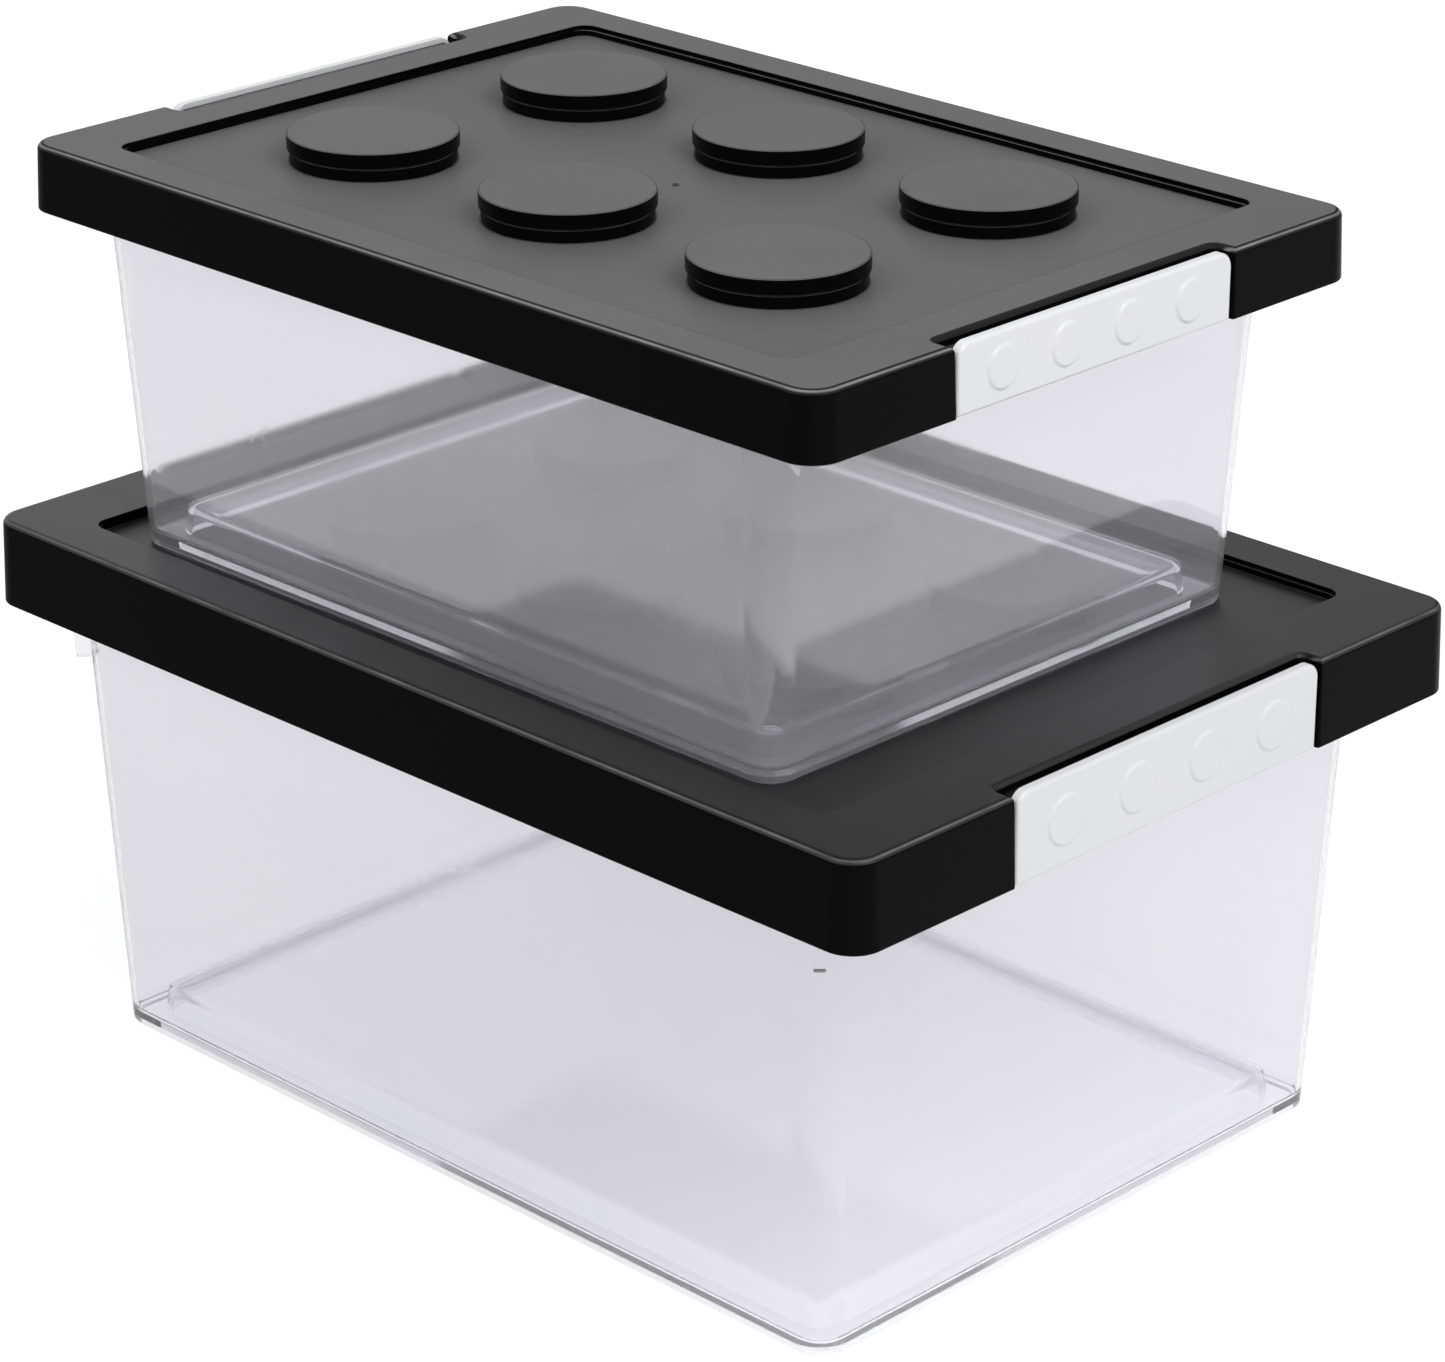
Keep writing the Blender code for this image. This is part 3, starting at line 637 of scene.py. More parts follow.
def recess_loops(box):
    """Loops from the border down to the panel, over the step in the long walls."""
    level, edge, fine = box.top - 0.45 * RECESS_DEPTH, RECESS_EDGE, FINE_RADIUS
    above = [(edge + MARGIN, box.top), *bend((edge, box.top - edge), edge, 90, 180, 4)]
    below = bend((fine, level - fine), fine, 90, 180, 4)
    foot = [*bend((-fine, box.panel + fine), fine, 0, -90, 4), (-fine - MARGIN, box.panel)]
    loops = [at_height(recess_loop(box, outset), z) for outset, z in above]
    loops.append(at_height(recess_loop(box, 0), level))
    loops += [at_height(recess_loop(box, 0, RECESS_STEP - outset), z) for outset, z in below]
    return loops + [at_height(recess_loop(box, outset, RECESS_STEP), z) for outset, z in foot]


def stud_section(box):
    """Radius and height up a stud: collar with its ledge, groove, the disc's rounded rim."""
    collar, fine = STUD_RADIUS - COLLAR_INSET, FINE_RADIUS
    groove = collar - GROOVE_DEPTH
    step = box.panel + COLLAR_HEIGHT
    crown = box.panel + STUD_HEIGHT
    return np.concatenate([
        [(collar + STUD_FOOT + MARGIN, box.panel)],
        bend((collar + STUD_FOOT, box.panel + STUD_FOOT), STUD_FOOT, 270, 180, 3),
        bend((collar - fine, step - 0.0007), fine, 0, 90, 4),
        [(groove, step - 0.0003), (groove, step + 0.0001)],
        bend((STUD_RADIUS - fine, step + 0.0004), fine, 270, 360, 4),
        bend((STUD_RADIUS - STUD_RIM, crown - STUD_RIM), STUD_RIM, 0, 90, 6),
        [(STUD_RADIUS - STUD_RIM - MARGIN, crown)]])


def stud_patches(box):
    """The outside and the hollow of every stud."""
    hollow = STUD_RADIUS - COLLAR_INSET - LID_WALL
    ceiling = box.panel + STUD_HEIGHT - LID_WALL
    patches = []
    for centre in STUD_CENTRES:
        outside = [at_height(circle(centre, r), z) for r, z in stud_section(box)]
        inner = ((hollow, box.panel - LID_WALL), (hollow, ceiling - 0.001), (hollow - 0.001, ceiling))
        inside = [at_height(circle(centre, r), z) for r, z in inner]
        patches += [sleeve(outside), sleeve(inside), cap(outside[-1]), cap(inside[-1])]
    return patches


print("a stud stands", 1e3 * STUD_HEIGHT, "mm high")

# %% [markdown]
# From below, a lid is hollow. A rib runs round inside the skirt and rests on the bin's rim. It is
# hidden while the box is shut, but a lid that is lifted off shows it, so it is made in the same
# way as the outside, from sleeves and level faces.

# %% The underside, with the rib that sits on the bin's rim
RIB = 0.002


def underside_patches(box, inner_skirt):
    """The border from below, the rib that sits on the bin's rim, and the panel from below."""
    ceiling, seat = box.top - LID_WALL, box.panel - LID_WALL
    rib_x = box.half_x - box.recess_inset[0] + LID_WALL + RIB
    rib_y = box.half_y - box.rim_inset[1] - RIB
    outer_rib = rounded_rectangle(rib_x + RIB, rib_y + RIB, LID_CORNER - LID_WALL)
    inner_rib = rounded_rectangle(rib_x, rib_y, LID_CORNER - LID_WALL - RIB)
    well = recess_loop(box, LID_WALL)
    hollow = STUD_RADIUS - COLLAR_INSET - LID_WALL
    holes = [circle(centre, hollow) for centre in STUD_CENTRES]
    return [
        level_face([inner_skirt, outer_rib], ceiling),
        sleeve([at_height(outer_rib, ceiling), at_height(outer_rib, seat)]),
        level_face([outer_rib, inner_rib], seat),
        sleeve([at_height(inner_rib, seat), at_height(inner_rib, ceiling)]),
        level_face([inner_rib, well], ceiling),
        sleeve([at_height(well, ceiling), at_height(well, seat)]),
        level_face([well, *holes], seat)]


def lid_patches(box):
    """All the patches of a lid."""
    skirt = skirt_loops(box)
    recess = recess_loops(box)
    feet = [circle(centre, stud_section(box)[0, 0]) for centre in STUD_CENTRES]
    patches = [
        cap(skirt[0], recess[0]),
        sleeve(recess),
        level_face([recess[-1][:, :2], *feet], box.panel),
        sleeve(skirt)]
    return patches + stud_patches(box) + underside_patches(box, skirt[-1][:, :2])


# %% [markdown]
# Two small things are left on a lid: the ledge in each notch that a latch snaps under, and the pip
# in the middle of the panel, the mark of the gate where the plastic entered the mould. A cube with
# a Bevel modifier would do for the ledge. Rounded rectangles that draw in at both ends need no
# modifier, and use the helpers that are already here.

# %% Small blocks with rounded edges
def block_patches(low, high, radius):
    """A block whose edges are all rounded: rounded rectangles that draw in at the top and bottom."""
    low, high = np.asarray(low), np.asarray(high)
    middle, half = (low + high) / 2, (high - low) / 2
    section = np.concatenate([bend((radius, low[2] + radius), radius, 270, 180, 4),
                              bend((radius, high[2] - radius), radius, 180, 90, 4)])
    outlines = [rounded_rectangle(half[0] - inset, half[1] - inset, 2 * radius - inset, 6) + middle[:2]
                for inset, _ in section]
    loops = [at_height(outline, z) for outline, (_, z) in zip(outlines, section)]
    return [sleeve(loops), cap(loops[0]), cap(loops[-1])]


CATCH = 0.0026
CATCH_GAP = 0.0003
CATCH_END = 0.0034
LATCH_DEPTH = 0.0045
PIP_SINK = 0.0005


def catch_patches(box):
    """The ledge in each notch that the latch's lip snaps under."""
    seat = box.panel - LID_WALL
    half = box.latch_half - CATCH_END
    near = box.half_x - LATCH_DEPTH - CATCH_GAP
    far = box.half_x - NOTCH_DEPTH - 0.001
    right = block_patches((far, -half, seat + 0.0002), (near, half, seat + 0.0002 + CATCH), 0.0004)
    return right + [(points * (-1, 1, 1), faces) for points, faces in right]


def gate_mark_patches(box):
    """The small pip in the middle of the panel: a sleeve with a round edge, sunk in the panel."""
    sunk = box.panel - PIP_SINK
    section = np.concatenate([[(0.0013, sunk)], bend((0.0009, box.panel), 0.0004, 0, 80, 5)])
    loops = [at_height(circle((0, 0), r, 32), z) for r, z in section]
    return [sleeve(loops), cap(loops[0]), cap(loops[-1])]


# %% [markdown]
# Now the patches become one mesh. Each face gets one of the lid's two finishes by the tilt of its
# normal: the level faces' colour, a grey painted sheen on the upper lid, or the sides' painted shade.
# That is simpler than keeping a list of faces and holds when a size changes. The same normals give
# the attribute that draws the painted dark line and the painted highlight along the rounded edges.

# %% Make both lids, and give the upright faces the painted shade finish
def split_painted_sheen_and_shade(mesh, upright=0.45):
    """Slot 1, the sides' painted shade, for faces whose normal is nearly level; slot 0 for the rest.
    """
    normals = np.zeros(3 * len(mesh.polygons))
    mesh.polygons.foreach_get("normal", normals)
    mesh.polygons.foreach_set("material_index", (np.abs(normals[2::3]) < upright).astype(np.int32))


def mark_turned(box, mesh):
    """An attribute: how far each point's normal leans from upward, as a share of 90 degrees.

    Faces that are upright or look down count as 0. The edges behind the latches are held in the
    painted dark line and get no painted highlight.
    """
    places, normals = np.zeros(3 * len(mesh.vertices)), np.zeros(3 * len(mesh.vertices))
    mesh.vertices.foreach_get("co", places)
    mesh.vertices.foreach_get("normal", normals)
    turned = np.arccos(np.clip(normals[2::3], -1, 1)) / (np.pi / 2)
    turned[turned > 0.87] = 0
    along, across = np.abs(places[0::3] - box.middle[0]), np.abs(places[1::3] - box.middle[1])
    hidden = (along > box.half_x - NOTCH_DEPTH - 0.006) & (along < box.half_x - 0.8 * NOTCH_DEPTH)
    hidden &= across < box.latch_half + 0.003
    # Behind the latches the edges keep only the painted dark line.
    turned[hidden] = np.minimum(turned[hidden], 0.2)
    attribute = mesh.attributes.new("turned", "FLOAT", "POINT")
    attribute.data.foreach_set("value", turned.astype(np.float32))


def make_lid(box):
    """A whole lid in its place."""
    patches = lid_patches(box) + catch_patches(box) + gate_mark_patches(box)
    node = box.prefix + "_lid"
    piece = put_in_scene(node + "_moulding", mesh_from(box.prefix + " lid", with_shift(patches, box)))
    stand_for(shade(piece), node, node, (LID_TOPS_PAINTED_SHEEN_AND_SHADE[box.prefix], LID_SIDE_PAINTED_SHADE))
    split_painted_sheen_and_shade(piece.data)
    mark_turned(box, piece.data)
    return piece


LIDS = [make_lid(box) for box in (LOWER, UPPER)]

# %% [markdown]
# ## The latch
#
# A latch is a shallow tray, open at the back and at the bottom, with round top corners and four
# low discs on its face, whose sides rise in a soft wave. Ears on its back hold short pins, which
# turn in the bin's lugs. The solid outside is a sleeve with a rounded front edge. The hollow is cut
# with a Boolean, because it leaves through the bottom, and a cut is simpler than a surface that
# stops half way.

# %% The outside of the latch with its discs
LATCH_TOP_RADIUS = 0.0055
LATCH_EDGE = 0.0013
DISC_HEIGHT = 0.0008
DISC_SLOPE = 0.0015


def latch_outline(half, bottom, top, radius, low_radius, inset=0.0):
    """Front view, along and up: larger round corners at the top, small ones at the bottom."""
    return np.concatenate([
        bend((half - low_radius, bottom + low_radius), low_radius - inset, -90, 0, 9),
        bend((half - radius, top - radius), radius - inset, 0, 90, 13),
        bend((radius - half, top - radius), radius - inset, 90, 180, 13),
        bend((low_radius - half, bottom + low_radius), low_radius - inset, 180, 270, 9)])


def face_out(patches, sign):
    """Patches drawn flat, as along, up and out, stood up on the +X or the -X end."""
    return [(np.column_stack([sign * p[:, 2], p[:, 0], p[:, 1]]), faces) for p, faces in patches]


def latch_front(box):
    """The tray's outside: along, up, and out from the middle of the box."""
    face, back = box.half_x - SKIRT_FLARE, box.half_x - LATCH_DEPTH
    given = (box.latch_half, box.skirt_bottom, box.top, LATCH_TOP_RADIUS, LATCH_TOP_RADIUS / 4)
    section = np.concatenate([bend((FINE_RADIUS, back + FINE_RADIUS), FINE_RADIUS, 270, 180, 4),
                              bend((LATCH_EDGE, face - LATCH_EDGE), LATCH_EDGE, 180, 90, 8),
                              [(LATCH_EDGE + 0.1 * MARGIN, face)]])
    loops = [at_height(latch_outline(*given, inset), out) for inset, out in section]
    middle = (box.skirt_bottom + box.top) / 2
    centres = [((index - 1.5) * box.disc_pitch, middle) for index in range(4)]
    share = np.linspace(0, 1, 11)
    disc = np.column_stack([box.disc_diameter / 2 - DISC_SLOPE * share,
                            face + DISC_HEIGHT * (1 - np.cos(np.pi * share)) / 2])
    discs = [[at_height(circle(centre, r, 72), out) for r, out in disc] for centre in centres]
    patches = [sleeve(loops), cap(loops[0]), cap(loops[-1], *(rings[0] for rings in discs))]
    for rings in discs:
        patches += [sleeve(rings), cap(rings[-1])]
    return patches


print("patches on a latch's front:", len(latch_front(LOWER)))

# %% A helper that cuts or joins, and the hollow
def combine(piece, tool, operation):
    """A Boolean with an exact solver, applied at once. The tool is used up."""
    boolean = piece.modifiers.new("combine", "BOOLEAN")
    boolean.operation, boolean.solver, boolean.object = operation, "EXACT", tool
    shaped = piece.evaluated_get(bpy.context.evaluated_depsgraph_get())
    mesh = bpy.data.meshes.new_from_object(shaped)
    piece.modifiers.clear()
    piece.data = mesh
    bpy.data.objects.remove(tool)


def latch_hollow(box):
    """What is taken out of the back, down through the bottom."""
    wall = 0.002
    out = [box.half_x - LATCH_DEPTH - 0.004, box.half_x - SKIRT_FLARE - wall]
    below = box.skirt_bottom - 0.006
    outline = latch_outline(box.latch_half - wall, below, box.top - wall, wall, wall)
    return [sleeve([at_height(outline, level) for level in out]),
            *(level_face([outline], level) for level in out)]


# %% [markdown]
# The hinge sits near the skirt's lower edge. Each of the bin's two lugs has an ear of the latch on
# both sides, and a pin runs through all three. The latch swings about the pins' line.

# %% Ears and pins
PIVOT_INSET = 0.0085
PIVOT_RISE = 0.007
LUG_THICKNESS = 0.004
LUG_SHARE = 0.36
PIN_GAP = 0.0003
PIN_RADIUS = 0.002
EAR_RADIUS = 0.0036
EAR_THICKNESS = 0.003


def side_view(outline, sign, low_y, high_y):
    """A prism: an outline of out and up, carried along Y, closed at both ends."""
    loops = [np.column_stack([sign * outline[:, 0], np.full(len(outline), y), outline[:, 1]])
             for y in (low_y, high_y)]
    ring = list(range(len(outline)))
    return [sleeve(loops), (loops[0], [ring]), (loops[1], [ring])]


def hinge_point(box):
    """Out and up of the hinge line."""
    return box.half_x - PIVOT_INSET, box.skirt_bottom + PIVOT_RISE


def lug_places(box):
    """Where the two lugs of a latch stand, measured along it from its middle."""
    return -2 * LUG_SHARE * box.latch_half, 2 * LUG_SHARE * box.latch_half


def ear_patches(box, sign):
    """Two ears and a pin for each lug."""
    out, up = hinge_point(box)
    root = box.half_x - SKIRT_FLARE - 0.001
    ear = np.concatenate([bend((out, up), EAR_RADIUS, 90, 270, 21),
                          [(root, up - EAR_RADIUS), (root, up + EAR_RADIUS)]])
    pin = circle((out, up), PIN_RADIUS, 28)
    gap = LUG_THICKNESS / 2 + PIN_GAP
    patches = []
    for place in lug_places(box):
        for low in (place - gap - EAR_THICKNESS, place + gap):
            patches += side_view(ear, sign, low, low + EAR_THICKNESS)
        reach = gap + EAR_THICKNESS / 2
        patches += side_view(pin, sign, place - reach, place + reach)
    return patches


def make_latch(box, sign, name):
    """A whole latch in its place."""
    front = with_shift(face_out(latch_front(box), sign), box)
    hollow = with_shift(face_out(latch_hollow(box), sign), box)
    piece = put_in_scene(name + "_moulding", mesh_from(name, front))
    combine(piece, put_in_scene("hollow", mesh_from("hollow", hollow)), "DIFFERENCE")
    ears = mesh_from("ears", with_shift(ear_patches(box, sign), box))
    bm = bmesh.new()
    bm.from_mesh(piece.data)
    bm.from_mesh(ears)
    bm.to_mesh(piece.data)
    bm.free()
    stand_for(shade(piece), name, name, (LATCH_WHITE,))
    return piece


print("lower hinge, out and up, mm:", np.round(1e3 * np.array(hinge_point(LOWER)), 1).tolist())
LATCHES = [make_latch(box, sign, f"{box.prefix}_latch_{side}")
           for box in (LOWER, UPPER) for sign, side in ((1, "right"), (-1, "left"))]

# %% [markdown]
# ## The bin
#
# The bin is one thin clear wall. It starts under the raised floor, which clears the studs below,
# goes round the foot ring, up the outside, over the rim with its turned-down lip, down the inside
# and over the floor. Clear plastic shows every hidden face, so the bin has to be one closed
# surface: the lugs and corner webs are joined to it with Booleans.

# %% The wall's taper
BIN_WALL = 0.002
FOOT_CORNER = 0.0105
RIM_CORNER = 0.014


def wall_half(box, height, inset=0.0):
    """Half length, half width, corner radius and height of the wall: all grow evenly with height."""
    share = height / (box.rim_top - box.foot)
    foot_x = box.half_x - box.rim_inset[0] - box.taper[0]
    foot_y = box.half_y - box.rim_inset[1] - box.taper[1]
    radius = FOOT_CORNER + (RIM_CORNER - FOOT_CORNER) * share
    half_x, half_y = foot_x + box.taper[0] * share, foot_y + box.taper[1] * share
    return half_x - inset, half_y - inset, radius - inset, height


for box in (LOWER, UPPER):
    lean = np.degrees(np.arctan(box.taper[0] / (box.rim_top - box.foot)))
    print(f"the {box.prefix} bin's end walls lean by {lean:.1f} degrees")

# %% The bin's section
def wider(ring, extra, height):
    """The same rounded rectangle, wider all round, at another height."""
    return ring[0] + extra, ring[1] + extra, ring[2] + extra, height


def eased(ring, radius, middle, first, last, count, inset=0.0):
    """Rings round an edge: the ring drawn in along an arc about the height of its middle."""
    return [wider(ring, -inset - step, height)
            for step, height in bend((radius, middle), radius, first, last, count)]


RIM_THICKNESS = 0.0022
LIP_THICKNESS = 0.0016
LIP_HEIGHT = 0.006
LIP_EDGE = 0.0006
FLANGE_INSET = (0.0118, 0.0038)
FOOT_EDGE = 0.0012
FOOT_RING = 0.003
FOOT_RISE = 0.0016
FLOOR_RADIUS = 0.003
PLATEAU_INSET = 0.010
PLATEAU_CORNER = 0.008


def bin_rings(box):
    """Rounded rectangles along the bin's whole section, heights above its foot."""
    rim = box.rim_top - box.foot
    under, over, trough = 0.0113, 0.0135, 0.0038
    foot = wall_half(box, 0)
    plateau = (foot[0] - PLATEAU_INSET, foot[1] - PLATEAU_INSET, PLATEAU_CORNER, trough)
    flange = (box.half_x - FLANGE_INSET[0], box.half_y - FLANGE_INSET[1],
              RIM_CORNER + LIP_THICKNESS, rim)
    lip = (flange[0] - LIP_THICKNESS, flange[1] - LIP_THICKNESS, RIM_CORNER, rim)
    rings = [wider(plateau, -0.005, under), wider(plateau, -0.0045, under)]
    rings += eased(plateau, 0.0015, under - 0.0015, 90, 180, 5, inset=0.003)
    rings += [wider(plateau, -BIN_WALL, FOOT_RISE),
              wider(foot, -FOOT_RING, FOOT_RISE), wider(foot, -FOOT_RING, 0.0)]
    rings += eased(foot, FOOT_EDGE, FOOT_EDGE, 270, 180, 6)
    rings += [wall_half(box, rim * share) for share in (0.25, 0.5, 0.75)]
    rings += [wall_half(box, rim - RIM_THICKNESS), wider(lip, 0, rim - RIM_THICKNESS)]
    rings += [wider(lip, 0, rim - LIP_HEIGHT), wider(flange, 0, rim - LIP_HEIGHT)]
    rings += eased(flange, LIP_EDGE, rim - LIP_EDGE, 180, 90, 5)
    rings += [wall_half(box, rim, BIN_WALL)]
    rings += [wall_half(box, rim * share, BIN_WALL) for share in (0.75, 0.5, 0.25)]
    rings += [wall_half(box, trough + rise, BIN_WALL + inset)
              for inset, rise in bend((FLOOR_RADIUS, FLOOR_RADIUS), FLOOR_RADIUS, 180, 270, 7)]
    rings += [wider(plateau, 0, trough)]
    rings += eased(plateau, 0.002, over - 0.002, 180, 90, 6, inset=0.001)
    return rings + [wider(plateau, -0.003 - MARGIN, over)]


def bin_patches(box):
    """The section as one sleeve, closed by the floor from above and below."""
    loops = [at_height(rounded_rectangle(*ring[:3], 13), box.foot + ring[3])
             for ring in bin_rings(box)]
    return [sleeve(loops), cap(loops[0]), cap(loops[-1])]


print("rings along a bin's section:", len(bin_rings(LOWER)))

# %% [markdown]
# Thin webs stand under the corners of the rim and keep the flange stiff. On each end two lugs
# carry the latch's pins. Both grow out of the wall. In clear plastic a block that only overlaps
# the wall would show its buried faces, so each is joined with an exact Boolean, and the hole for
# the pin is cut last.

# %% Hinge lugs and corner webs
LUG_RADIUS = 0.0038
WEB_HALF = 0.0019
WEB_ROOT = 0.001
WEB_REACH = 0.0055
WEB_EASE = 0.0006


def lug_shape(box):
    """Side view of a lug: from the wall under the rim out to a round nose about the hinge line."""
    out, up = hinge_point(box)
    rim_middle = box.rim_top - RIM_THICKNESS / 2
    root = wall_half(box, rim_middle - box.foot, BIN_WALL / 2)[0]
    flange = box.half_x - FLANGE_INSET[0] - LIP_THICKNESS / 2
    nose = bend((out, up), LUG_RADIUS, 50, -125, 25)
    below = (root, box.rim_top - RIM_THICKNESS - 0.004)
    return np.concatenate([[(root, rim_middle), (flange, rim_middle)], nose, [below]])


def web_patches(box, sign_x, sign_y):
    """A web on one corner: a small rectangle carried up the leaning wall, its lower edge eased."""
    outward = np.array([sign_x, sign_y]) / np.sqrt(2)
    across = np.array([-sign_y, sign_x]) / np.sqrt(2) * WEB_HALF
    low, high = box.rim_top - box.gusset_drop, box.rim_top - RIM_THICKNESS / 2
    loops = []
    for z, reach in ((low, WEB_REACH - WEB_EASE), (low + WEB_EASE, WEB_REACH), (high, WEB_REACH)):
        outline = np.array([-outward * WEB_ROOT - across, outward * reach - across,
                            outward * reach + across, -outward * WEB_ROOT + across])
        half_x, half_y, radius, _ = wall_half(box, z - box.foot)
        round_in = radius * (1 - np.sqrt(0.5))
        corner = (sign_x * (half_x - round_in), sign_y * (half_y - round_in))
        loops.append(at_height(outline + corner, z))
    return [sleeve(loops), (loops[0], [[0, 1, 2, 3]]), (loops[-1], [[0, 1, 2, 3]])]


def make_bin(box):
    """A whole bin in its place."""
    name = box.prefix + "_bin"
    piece = put_in_scene(name + "_moulding", mesh_from(name, with_shift(bin_patches(box), box)))
    before = len(piece.data.polygons)
    for sign_x in (1, -1):
        for sign_y in (1, -1):
            web = mesh_from("web", with_shift(web_patches(box, sign_x, sign_y), box))
            combine(piece, put_in_scene("web", web), "UNION")
    hole = circle(hinge_point(box), PIN_RADIUS + PIN_GAP, 28)
    cuts = ((lug_shape(box), LUG_THICKNESS / 2, "UNION"), (hole, 1.5 * LUG_THICKNESS, "DIFFERENCE"))
    for sign in (1, -1):
        for place in lug_places(box):
            for shape, half, operation in cuts:
                tool = with_shift(side_view(shape, sign, place - half, place + half), box)
                combine(piece, put_in_scene("tool", mesh_from("tool", tool)), operation)
    print("faces before and after the joins:", before, len(piece.data.polygons))
    stand_for(shade(piece), name, name, (BIN_CLEAR,))
    return piece


BINS = [make_bin(box) for box in (LOWER, UPPER)]

# %% [markdown]
# ## Studio
#
# The boxes stand on a plain white floor in a white room. The floor and the world look pure white
# to the camera, to gloss and through the clear plastic, and light the object at a plain level. The
# floor's own shading is mixed in, so that it keeps the soft shadow.

# %% Kinds of rays
def ray_masks(tree):
    """Two masks: rays that see a surface directly, in gloss or through glass, and mirrored rays."""
    rays = tree.nodes.new("ShaderNodeLightPath")
    glossy, through = rays.outputs["Is Glossy Ray"], rays.outputs["Is Transmission Ray"]
    seen = add_math(tree, "MAXIMUM", glossy, through)
    seen = add_math(tree, "MAXIMUM", rays.outputs["Is Camera Ray"], seen)
    return seen, add_math(tree, "SUBTRACT", glossy, through, clamp=True)


def add_direction(tree, coordinates, direction):
    """How far a point lies along a direction: the dot product of the two."""
    place = tree.nodes.new("ShaderNodeTexCoord")
    along = tree.nodes.new("ShaderNodeVectorMath")
    along.operation = "DOT_PRODUCT"
    along.inputs[1].default_value = direction
    tree.links.new(place.outputs[coordinates], along.inputs[0])
    return along.outputs["Value"]


# %% Floor
FLOOR_HALF = 8.0
FLOOR_GAP = 0.0003


def make_floor():
    """A level sheet, white by its own glow, with a share of real shading to carry the shadow."""
    corners = at_height(FLOOR_HALF * np.array([(-1, -1), (1, -1), (1, 1), (-1, 1)]), 0)
    mesh = bpy.data.meshes.new("floor")
    mesh.from_pydata(corners.tolist(), [], [(0, 1, 2, 3)])
    floor = put_in_scene("floor", mesh)
    floor.location.z = -FLOOR_GAP
    finish, tree, shader = new_finish("floor_white", (0.8, 0.8, 0.8), 1.0)
    shader.inputs["Specular IOR Level"].default_value = 0.0
    glow = tree.nodes.new("ShaderNodeEmission")
    dim = tree.nodes.new("ShaderNodeBsdfDiffuse")
    dim.inputs["Color"].default_value = (0.42, 0.42, 0.42, 1)
    both = tree.nodes.new("ShaderNodeAddShader")
    tree.links.new(glow.outputs[0], both.inputs[0])
    tree.links.new(dim.outputs[0], both.inputs[1])
    seen, mirrored = ray_masks(tree)
    left = add_range(tree, add_direction(tree, "Object", (1, 1, 0)), -0.5, 0.1, 0.8, 0.0)
    flag = add_math(tree, "SUBTRACT", 1.0, add_math(tree, "MULTIPLY", left, mirrored))
    tree.links.new(add_math(tree, "MULTIPLY", flag, 0.74), glow.inputs["Strength"])
    mix = tree.nodes.new("ShaderNodeMixShader")
    tree.links.new(seen, mix.inputs[0])
    tree.links.new(shader.outputs[0], mix.inputs[1])
    tree.links.new(both.outputs[0], mix.inputs[2])
    tree.links.new(mix.outputs[0], tree.nodes["Material Output"].inputs["Surface"])
    mesh.materials.append(finish)
    return floor


FLOOR = make_floor()
print("the floor lies", -1e3 * FLOOR.location.z, "mm below the boxes")

# %% [markdown]
# The room is darker on one side, so the lids' level faces grow darker to the right. A gradient in
# what gloss sees of the room gives that and leaves the light on the object even. Two large soft
# lamps add form: a stronger one above the right end, and a weaker one above the long side.

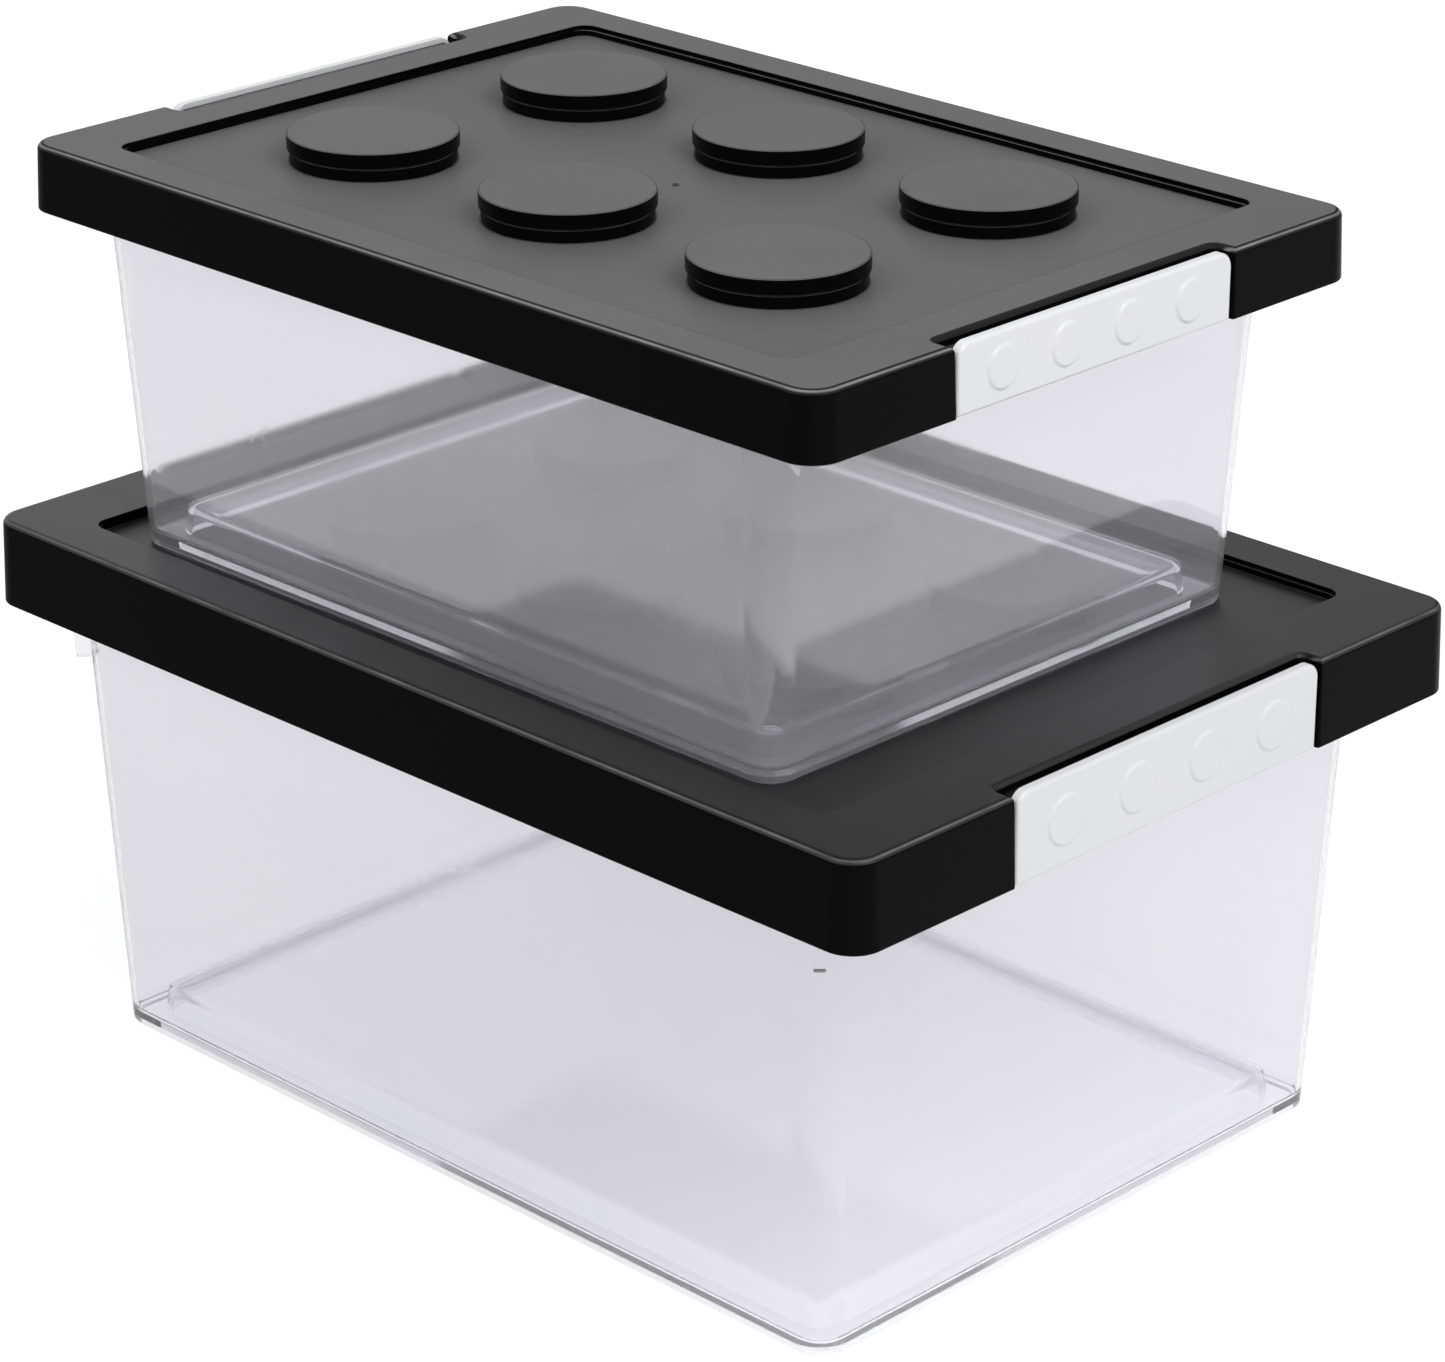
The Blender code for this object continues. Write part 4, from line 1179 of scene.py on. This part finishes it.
# %% World and lamps
def make_world():
    """White where it is seen, directly, in gloss or through glass, and softer as a light.

    One side of the room is darker in mirrored light, so that level faces grow darker to the right.
    """
    world = bpy.data.worlds.new("white room")
    bpy.context.scene.world = world
    world.use_nodes = True
    tree = world.node_tree
    room = tree.nodes["Background"]
    room.inputs["Color"].default_value = (1, 1, 1, 1)
    seen, mirrored = ray_masks(tree)
    dark = add_range(tree, add_direction(tree, "Generated", (-0.26, 0.966, 0)), 0.80, 0.93, 0.0, 0.95)
    kept = add_math(tree, "SUBTRACT", 1.0, add_math(tree, "MULTIPLY", dark, mirrored))
    strength = add_math(tree, "MULTIPLY", add_range(tree, seen, 0, 1, 0.62, 1.0), kept)
    tree.links.new(strength, room.inputs["Strength"])


def direction_from(azimuth, elevation):
    """Unit vector to a viewer: azimuth 0 looks along +Y, 90 along -X, both angles in degrees."""
    turn, lift = np.radians(azimuth), np.radians(elevation)
    return Vector((np.sin(turn) * np.cos(lift), -np.cos(turn) * np.cos(lift), np.sin(lift)))


def add_lamp(name, azimuth, elevation, distance, size, power):
    """A square soft lamp that looks at the middle of the boxes."""
    data = bpy.data.lights.new(name, "AREA")
    data.size, data.energy = size, power
    lamp = bpy.data.objects.new(name, data)
    aim, back = Vector((0, 0, 0.17)), direction_from(azimuth, elevation)
    lamp.location = aim + distance * back
    lamp.rotation_euler = (-back).to_track_quat("-Z", "Y").to_euler()
    bpy.context.scene.collection.objects.link(lamp)
    return lamp


make_world()
LAMPS = [add_lamp("key", 85, 48, distance=2.0, size=1.2, power=15.5),
         add_lamp("fill", -15, 40, distance=2.2, size=1.4, power=7.5)]
print("lamps:", [(lamp.name, lamp.data.energy) for lamp in LAMPS])

# %% [markdown]
# ## Camera
#
# The camera stands where the photo was taken from: turned 44 degrees from the long side, 23
# degrees above the floor, with a long lens.

# %% Camera
def make_camera():
    """Behind the aim point along the viewing direction, looking back at it."""
    data = bpy.data.cameras.new("camera")
    data.lens, data.sensor_width = 120.0, 36.0
    camera = bpy.data.objects.new("camera", data)
    aim, back = Vector((0.0040, 0.0040, 0.1476)), direction_from(44.47, 22.91)
    camera.location = aim + 1.6857 * back
    camera.rotation_euler = back.to_track_quat("Z", "Y").to_euler()
    bpy.context.scene.collection.objects.link(camera)
    bpy.context.scene.camera = camera
    print("camera at", [round(c, 3) for c in camera.location])


make_camera()
bpy.context.scene.view_settings.view_transform = "Standard"

# %% [markdown]
# ## Count the faces
#
# Each piece's size was printed as it was placed; here the faces of all pieces are counted. The
# dressed model has to stay in the CAD model's box.

# %% Count the faces of all pieces
print("faces in all:", sum(len(piece.data.polygons) for piece in LIDS + LATCHES + BINS))
